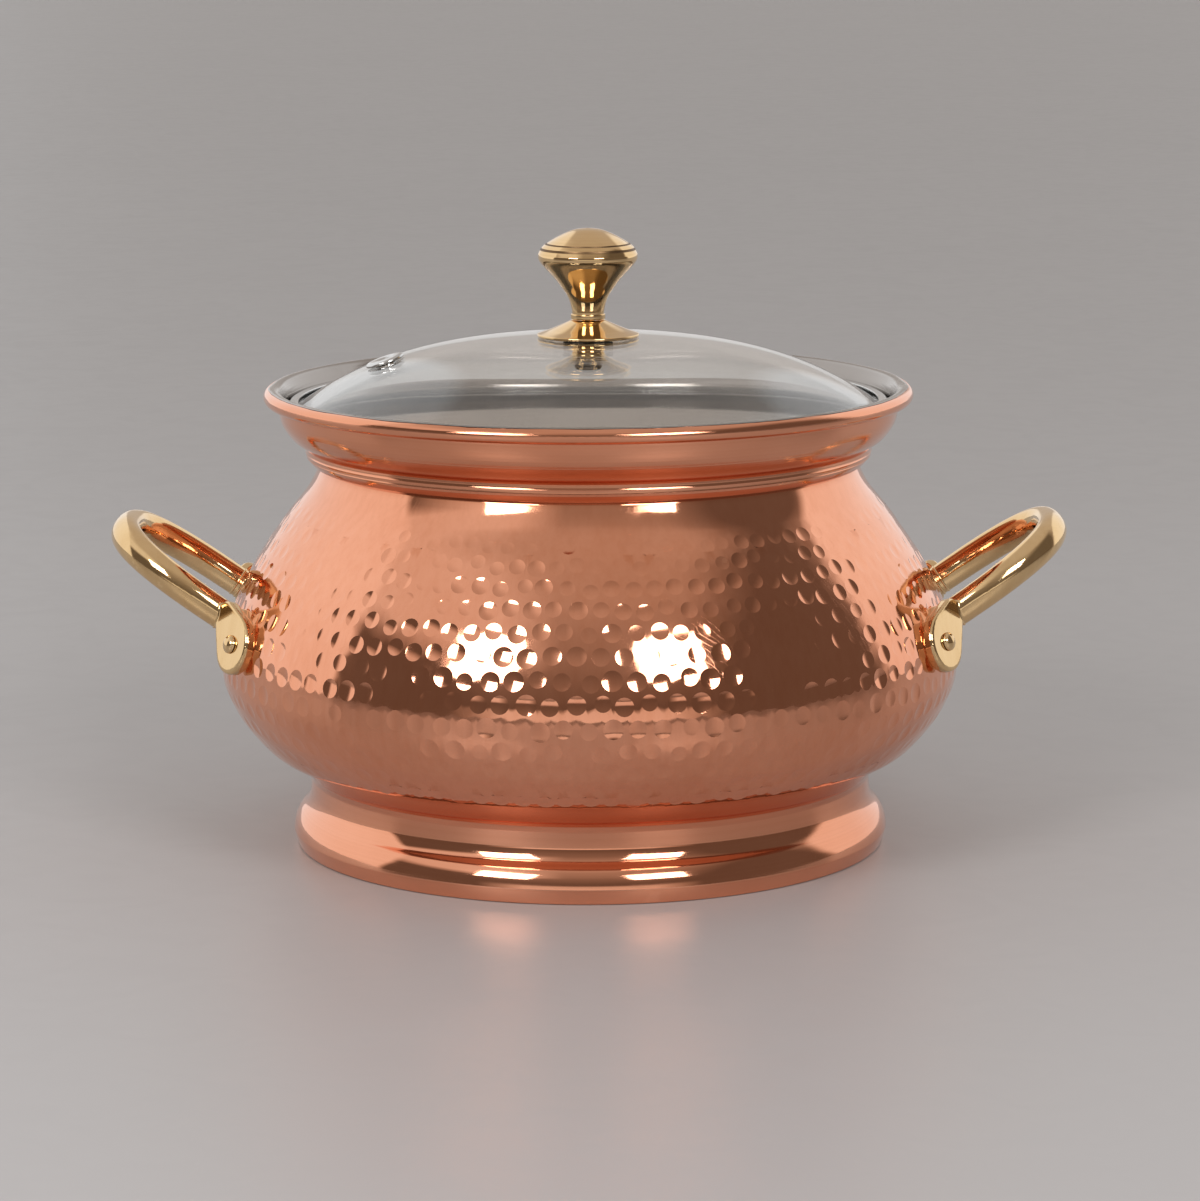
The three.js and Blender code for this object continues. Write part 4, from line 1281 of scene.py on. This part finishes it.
class HANDI_OT_lid(bpy.types.Operator):
    """Bend the glass, fold the steel band round it and set the vent"""

    bl_idname = "handi.lid"
    bl_label = "Glass lid"

    def execute(self, context):
        lid = context.scene.handi.lid
        clear = clear_glass(context.scene.handi.colours)
        steel = finish(context, "steel")
        place = vent_frame(lid)
        piece(self.glass(lid, place), "domed_glass", "lid", clear, ["lid_glass"])
        piece(self.band(lid), "folded_band", "lid", steel, ["lid_band"])
        piece(self.eyelet(lid, place), "vent_rim", "lid", steel, ["vent_eyelet"])
        piece(self.ring(lid, place), "vent_back_ring", "lid", steel, ["vent_ring"])
        return {"FINISHED"}

    def glass(self, lid, place):
        edge = lid.band_radius - lid.band_sheet - SEAT_GAP
        top = lid.band_bottom + lid.band_sheet + SEAT_GAP + lid.glass
        dome = edge - lid.flat
        outside = points((edge, top), (dome + 0.0012, top + 0.0001))
        for i in range(33):
            radius = dome + (lid.hole - dome) * i / 32
            outside.append(point(radius, dome_height(lid, radius)))
        inside = offset(outside, lid.glass)
        inside[0].x = edge
        inside[-1].x = lid.hole
        bm = turned(eased([*outside, *reversed(inside)], 0.0008, 3, 45), 180, closed=True)
        bm = cut(bm, drill(lid.vent_hole, -2 * lid.glass, lid.glass, place))
        crisp(bm, 50)
        return bm

    def band(self, lid):
        inner, outer = lid.band_radius - lid.band_flange, lid.band_radius
        sheet, low = lid.band_sheet, lid.band_bottom
        high = low + 2 * sheet + 2 * SEAT_GAP + lid.glass
        web, under, over = outer - sheet, high - sheet, low + sheet
        outside = points((inner, low), (outer, low), (outer, high), (inner, high))
        inside = points((inner, under), (web, under), (web, over), (inner, over))
        return turned_ring([*outside, *inside], 0.0009, 4, 180)

    def eyelet(self, lid, place):
        """The vent's rim on the glass, its tube and the edge turned out below the ring."""
        rim, foot, sheet = lid.vent_flange, 0.0049, 0.0009
        turned_edge, crest, throat = 0.0005, 0.0014, 0.0004
        tube = lid.vent_hole - SEAT_GAP
        bore = tube - sheet
        below = -lid.glass - 2 * SEAT_GAP - VENT_RING_SHEET
        outline = points(
            (bore, below - turned_edge),
            (foot, below - turned_edge),
            (foot, below),
            (tube, below),
            (tube, SEAT_GAP / 2),
            (rim, SEAT_GAP / 2),
            (rim, sheet),
            (rim - sheet, crest),
            (bore + 2 * throat, crest),
            (bore, throat),
        )
        return turned_ring(outline, 0.0005, 3, 48, place=place)

    def ring(self, lid, place):
        hole, radius = lid.vent_hole, 0.0058
        top = -lid.glass - SEAT_GAP
        low = top - VENT_RING_SHEET
        outline = points((hole, low), (radius, low), (radius, top), (hole, top))
        return turned_ring(outline, 0.00015, 2, 48, place=place)


class HANDI_OT_knob(bpy.types.Operator):
    """Turn the knob and its cone, and clamp them through the glass"""

    bl_idname = "handi.knob"
    bl_label = "Knob, gaskets and screw"

    def execute(self, context):
        size, lid = context.scene.handi.knob, context.scene.handi.lid
        brass, steel = finish(context, "turned"), finish(context, "steel")
        rubber = silicone(context.scene.handi.colours)
        apex = dome_height(lid, 0)
        low = apex - lid.glass - SEAT_GAP - size.gasket
        washer = low - SEAT_GAP - size.washer
        knob = piece(self.knob(size), "turned_knob", "knob_set", brass, ["knob"])
        # The second material paints shade and dried polish into the knob's grooves
        knob.data.materials.append(finish(context, "groove"))
        piece(self.cone(size, lid), "turned_cone", "knob_set", brass, ["knob_cone"])
        for name, bottom in (("gasket_upper", apex + SEAT_GAP), ("gasket_lower", low)):
            bm = self.disc(size, size.gasket_radius, bottom, size.gasket)
            piece(bm, f"silicone_{name}", "knob_set", rubber, [name])
        bm = self.disc(size, size.washer_radius, washer, size.washer)
        piece(bm, "washer_of_steel", "knob_set", steel, ["knob_washer"])
        bm = self.screw(size, washer - SEAT_GAP)
        piece(bm, "cross_head_screw", "knob_set", steel, ["knob_screw"])
        return {"FINISHED"}

    def disc(self, size, radius, bottom, tall):
        bore, top = size.screw_radius + SEAT_GAP, bottom + tall
        outline = points((bore, bottom), (radius, bottom), (radius, top), (bore, top))
        return turned_ring(outline, 0.00025, 3, 64)

    def cone(self, size, lid):
        bore = size.screw_radius + SEAT_GAP
        base = dome_height(lid, 0) + 2 * SEAT_GAP + size.gasket
        rim_low = dome_height(lid, size.cone_radius - size.cone_edge) + SEAT_GAP
        rim = point(size.cone_radius, rim_low + size.cone_edge)
        top = point(size.cone_top, size.knob_bottom - SEAT_GAP)
        slope = curve(rim, top, CONE_CURVE_SHARES, 20)
        under = points(
            (bore, base),
            (size.gasket_radius, base),
            (size.cone_radius - size.cone_edge, rim_low),
            (size.cone_radius, rim_low),
        )
        return turned_ring([*under, *slope, point(bore, top.y)], 0.00035, 3, 96, 35)

    def knob(self, size):
        """The knob, its two grooves given the second material, dark brass that paints their shade
        and dried polish.
        """
        bore, low = size.screw_radius + SEAT_GAP, size.knob_bottom
        stem = point(size.stem_radius, low + size.ring_height)
        edge = point(size.knob_radius, low + size.edge_height)
        shoulder = point(size.knob_radius, low + size.crown_height)
        crown = point(0, low + size.height)
        side = curve(stem, edge, KNOB_STEM_SHARES, 26)
        dome = curve(shoulder, crown, KNOB_CROWN_SHARES, CROWN_STEPS)
        grooved = list(dome)
        for i in GROOVES:
            for step, part in ((-1, 0.6), (0, 1), (1, 0.6)):
                grooved[i + step] = dome[i + step] - point(0, size.groove * part)
        ring = points((bore, low), (size.ring_radius, low), (size.ring_radius, stem.y))
        outside = eased([*ring, *side, *grooved], 0.0003, 3, 32, closed=False)
        deep = low + size.grip + SEAT_GAP
        bm = turned([*points((0, deep), (bore, deep)), *outside], 96)
        for face in bm.faces:
            middle = face.calc_center_median()
            place = point(middle.xy.length, middle.z + size.groove / 2)
            if min((place - dome[i]).length for i in GROOVES) < size.groove:
                face.material_index = 1
        crisp(bm, 50)
        return bm

    def screw(self, size, shoulder):
        """The screw with its thread and the cross in its head."""
        edge, pitch, valley_share, tip_share = 0.0016, 0.0007, 0.84, 0.8
        slot_size = (0.0046, 0.0009, 0.0026, 1)
        bottom = shoulder - size.head_height
        tip = size.knob_bottom + size.grip
        outer = size.screw_radius
        thread = []
        for i in range(int((tip - shoulder) / pitch)):
            crest, valley = shoulder + pitch * (i + 0.25), shoulder + pitch * (i + 0.75)
            thread += points((outer, crest), (outer * valley_share, valley))
        line = [
            point(0, bottom),
            *arc(point(size.head_radius - edge, bottom + edge), edge, -90, 0, 6),
            *points((size.head_radius, shoulder), (outer, shoulder)),
            *thread,
            *points((outer * tip_share, tip), (0, tip)),
        ]
        slot = bmesh.new()
        for turn in (0, math.pi / 2):
            box = bmesh.ops.create_cube(slot, size=1)["verts"]
            place = Matrix.Translation((0, 0, bottom)) @ Matrix.Rotation(turn, 4, "Z")
            bmesh.ops.transform(slot, matrix=place @ Matrix.Diagonal(slot_size), verts=box)
        bm = cut(turned(line, 40), slot, use_self=True)
        crisp(bm, 35)
        return bm


class HANDI_OT_rim_wire(bpy.types.Operator):
    """Give the wire inside the lip its drawn steel"""

    bl_idname = "handi.rim_wire"
    bl_label = "Rim wire"

    def execute(self, context):
        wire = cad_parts["rim_wire"]
        wire.data.materials.clear()
        wire.data.materials.append(finish(context, "steel"))
        return {"FINISHED"}


# Stage


class HANDI_OT_stage(bpy.types.Operator):
    """Set the floor, the soft lights and the camera"""

    bl_idname = "handi.stage"
    bl_label = "Floor, lights and camera"

    def execute(self, context):
        settings = context.scene.handi
        self.floor(settings)
        self.world(context)
        self.lamps()
        self.camera(context, settings.stage)
        context.scene.view_settings.view_transform = "Standard"
        return {"FINISHED"}

    def floor(self, settings):
        bm = bmesh.new()
        radius = settings.stage.floor_radius
        bmesh.ops.create_circle(bm, cap_ends=True, segments=96, radius=radius)
        floor = linked("floor", meshed("floor", bm))
        material, tree, shader = blank("pale_floor")
        tarnish = placed(tree, "tarnish", Cloud_Scale=3.0)
        pale = settings.colours.floor
        tint = mixed(tree, tarnish["Clouds"], pale, [c * 0.98 for c in pale])
        dress(tree, shader, tint, scaled(tree, tarnish["Smudges"], 0.38, 0.42))
        floor.data.materials.append(material)

    def world(self, context):
        """An even light, and a pale room that only the polished pieces reflect."""
        world = bpy.data.worlds.new("soft_room")
        context.scene.world = world
        world.use_nodes = True
        tree = world.node_tree
        light = tree.nodes["Background"]
        even = 0.55
        path = node(tree, "ShaderNodeLightPath").outputs
        room = self.room(tree)
        seen = maths(tree, "MAXIMUM", path["Is Camera Ray"], path["Is Transmission Ray"])
        lit = blend(tree, path["Is Glossy Ray"], even, room)
        tree.links.new(blend(tree, seen, lit, even), light.inputs["Strength"])
        shade = maths(tree, "SUBTRACT", 1.0, room)
        warmth = maths(tree, "MULTIPLY", path["Is Glossy Ray"], shade)
        tint = mixed(tree, warmth, (1.0, 1.0, 1.0), (1.0, 0.82, 0.68))
        tree.links.new(tint, light.inputs["Color"])

    def room(self, tree):
        """How bright the room is in each direction: dim in front, pale at the sides and behind."""
        way = node(tree, "ShaderNodeTexCoord").outputs["Generated"]
        across, ahead, up = node(tree, "ShaderNodeSeparateXYZ", {0: way}).outputs
        aside = maths(tree, "ABSOLUTE", across)
        middle = ramp(tree, up, ((0.0, 0.85), (0.08, 0.8), (0.12, 0.15), (0.5, 0.27), (0.85, 0.48)))
        flank = ramp(tree, aside, ((0.42, 0), (0.68, 1)))
        left = ramp(tree, maths(tree, "MULTIPLY", across, -1.0), ((0.15, 0), (0.4, 1)))
        high = ramp(tree, up, ((0.48, 0), (0.6, 1)))
        upper_left = maths(tree, "MULTIPLY", left, high)
        front = blend(tree, upper_left, blend(tree, flank, middle, 0.15), 0.8)
        leaning = maths(tree, "MULTIPLY_ADD", across, -0.14, aside)
        rising = maths(tree, "MULTIPLY_ADD", up, 0.28, leaning)
        around = maths(tree, "MULTIPLY_ADD", ahead, 0.92, rising)
        walls = ramp(tree, maths(tree, "MULTIPLY", around, 0.5), ((0.53, 0), (0.56, 1)))
        back = ramp(tree, maths(tree, "ADD", ahead, 0.5), ((0.55, 0), (0.95, 0.55)))
        above = ramp(tree, up, ((0.78, 0), (0.92, 1)))
        sides = blend(tree, walls, front, 0.98)
        return maths(tree, "MAXIMUM", blend(tree, above, sides, 0.55), back)

    def lamps(self):
        lift, distance, aim = math.radians(31), 1.6, Vector((0, 0, 0.08))
        wide, tall, energy = 0.56, 0.5, 8
        for name, degrees in LAMPS.items():
            data = bpy.data.lights.new(name, "AREA")
            data.shape = "RECTANGLE"
            data.size, data.size_y, data.energy = wide, tall, energy
            lamp = linked(name, data)
            side = math.radians(degrees)
            level = Vector((math.sin(side), -math.cos(side), 0)) * math.cos(lift)
            away = level + Vector((0, 0, math.sin(lift)))
            lamp.location = aim + away * distance
            lamp.rotation_euler = away.to_track_quat("Z", "Y").to_euler()

    def camera(self, context, stage):
        data = bpy.data.cameras.new("photo_view")
        data.lens = stage.focal_length
        data.sensor_width = 36
        data.dof.use_dof = False
        camera = linked("photo_view", data)
        look = Euler((math.pi / 2 - stage.pitch, 0, 0)).to_matrix().to_4x4()
        roll = Matrix.Rotation(-stage.roll, 4, "Z")
        place = Matrix.Translation((stage.side, -stage.distance, stage.height))
        camera.matrix_world = place @ look @ roll
        context.scene.camera = camera


class HANDI_PT_panel(bpy.types.Panel):
    bl_label = "Copper handi"
    bl_space_type = "VIEW_3D"
    bl_region_type = "UI"
    bl_category = "Handi"

    def draw(self, context):
        """A button for each step, with its sizes under it."""
        settings = context.scene.handi
        for operator, group_name in STEPS:
            box = self.layout.box()
            box.operator(operator)
            if not group_name:
                continue
            sizes = getattr(settings, group_name)
            for name in sizes.__annotations__:
                box.prop(sizes, name)


STEPS = (
    ("handi.stage", "stage"),
    ("handi.copper_body", "bowl"),
    ("handi.tin_lining", ""),
    ("handi.rim_wire", ""),
    ("handi.foot", "foot"),
    ("handi.handles", "handle"),
    ("handi.lid", "lid"),
    ("handi.knob", "knob"),
)

CLASSES = (
    HandiBowlSizes,
    HandiHammerSizes,
    HandiFootSizes,
    HandiHandleSizes,
    HandiLidSizes,
    HandiKnobSizes,
    HandiColours,
    HandiStageSizes,
    HandiSettings,
    HANDI_OT_stage,
    HANDI_OT_copper_body,
    HANDI_OT_tin_lining,
    HANDI_OT_rim_wire,
    HANDI_OT_foot,
    HANDI_OT_handles,
    HANDI_OT_lid,
    HANDI_OT_knob,
    HANDI_PT_panel,
)


def register():
    for cls in CLASSES:
        bpy.utils.register_class(cls)
    bpy.types.Scene.handi = bpy.props.PointerProperty(type=HandiSettings)


def unregister():
    del bpy.types.Scene.handi
    for cls in reversed(CLASSES):
        bpy.utils.unregister_class(cls)


def main():
    register()
    for operator, _ in STEPS:
        family, name = operator.split(".")
        getattr(getattr(bpy.ops, family), name)()


if __name__ == "__main__":
    main()
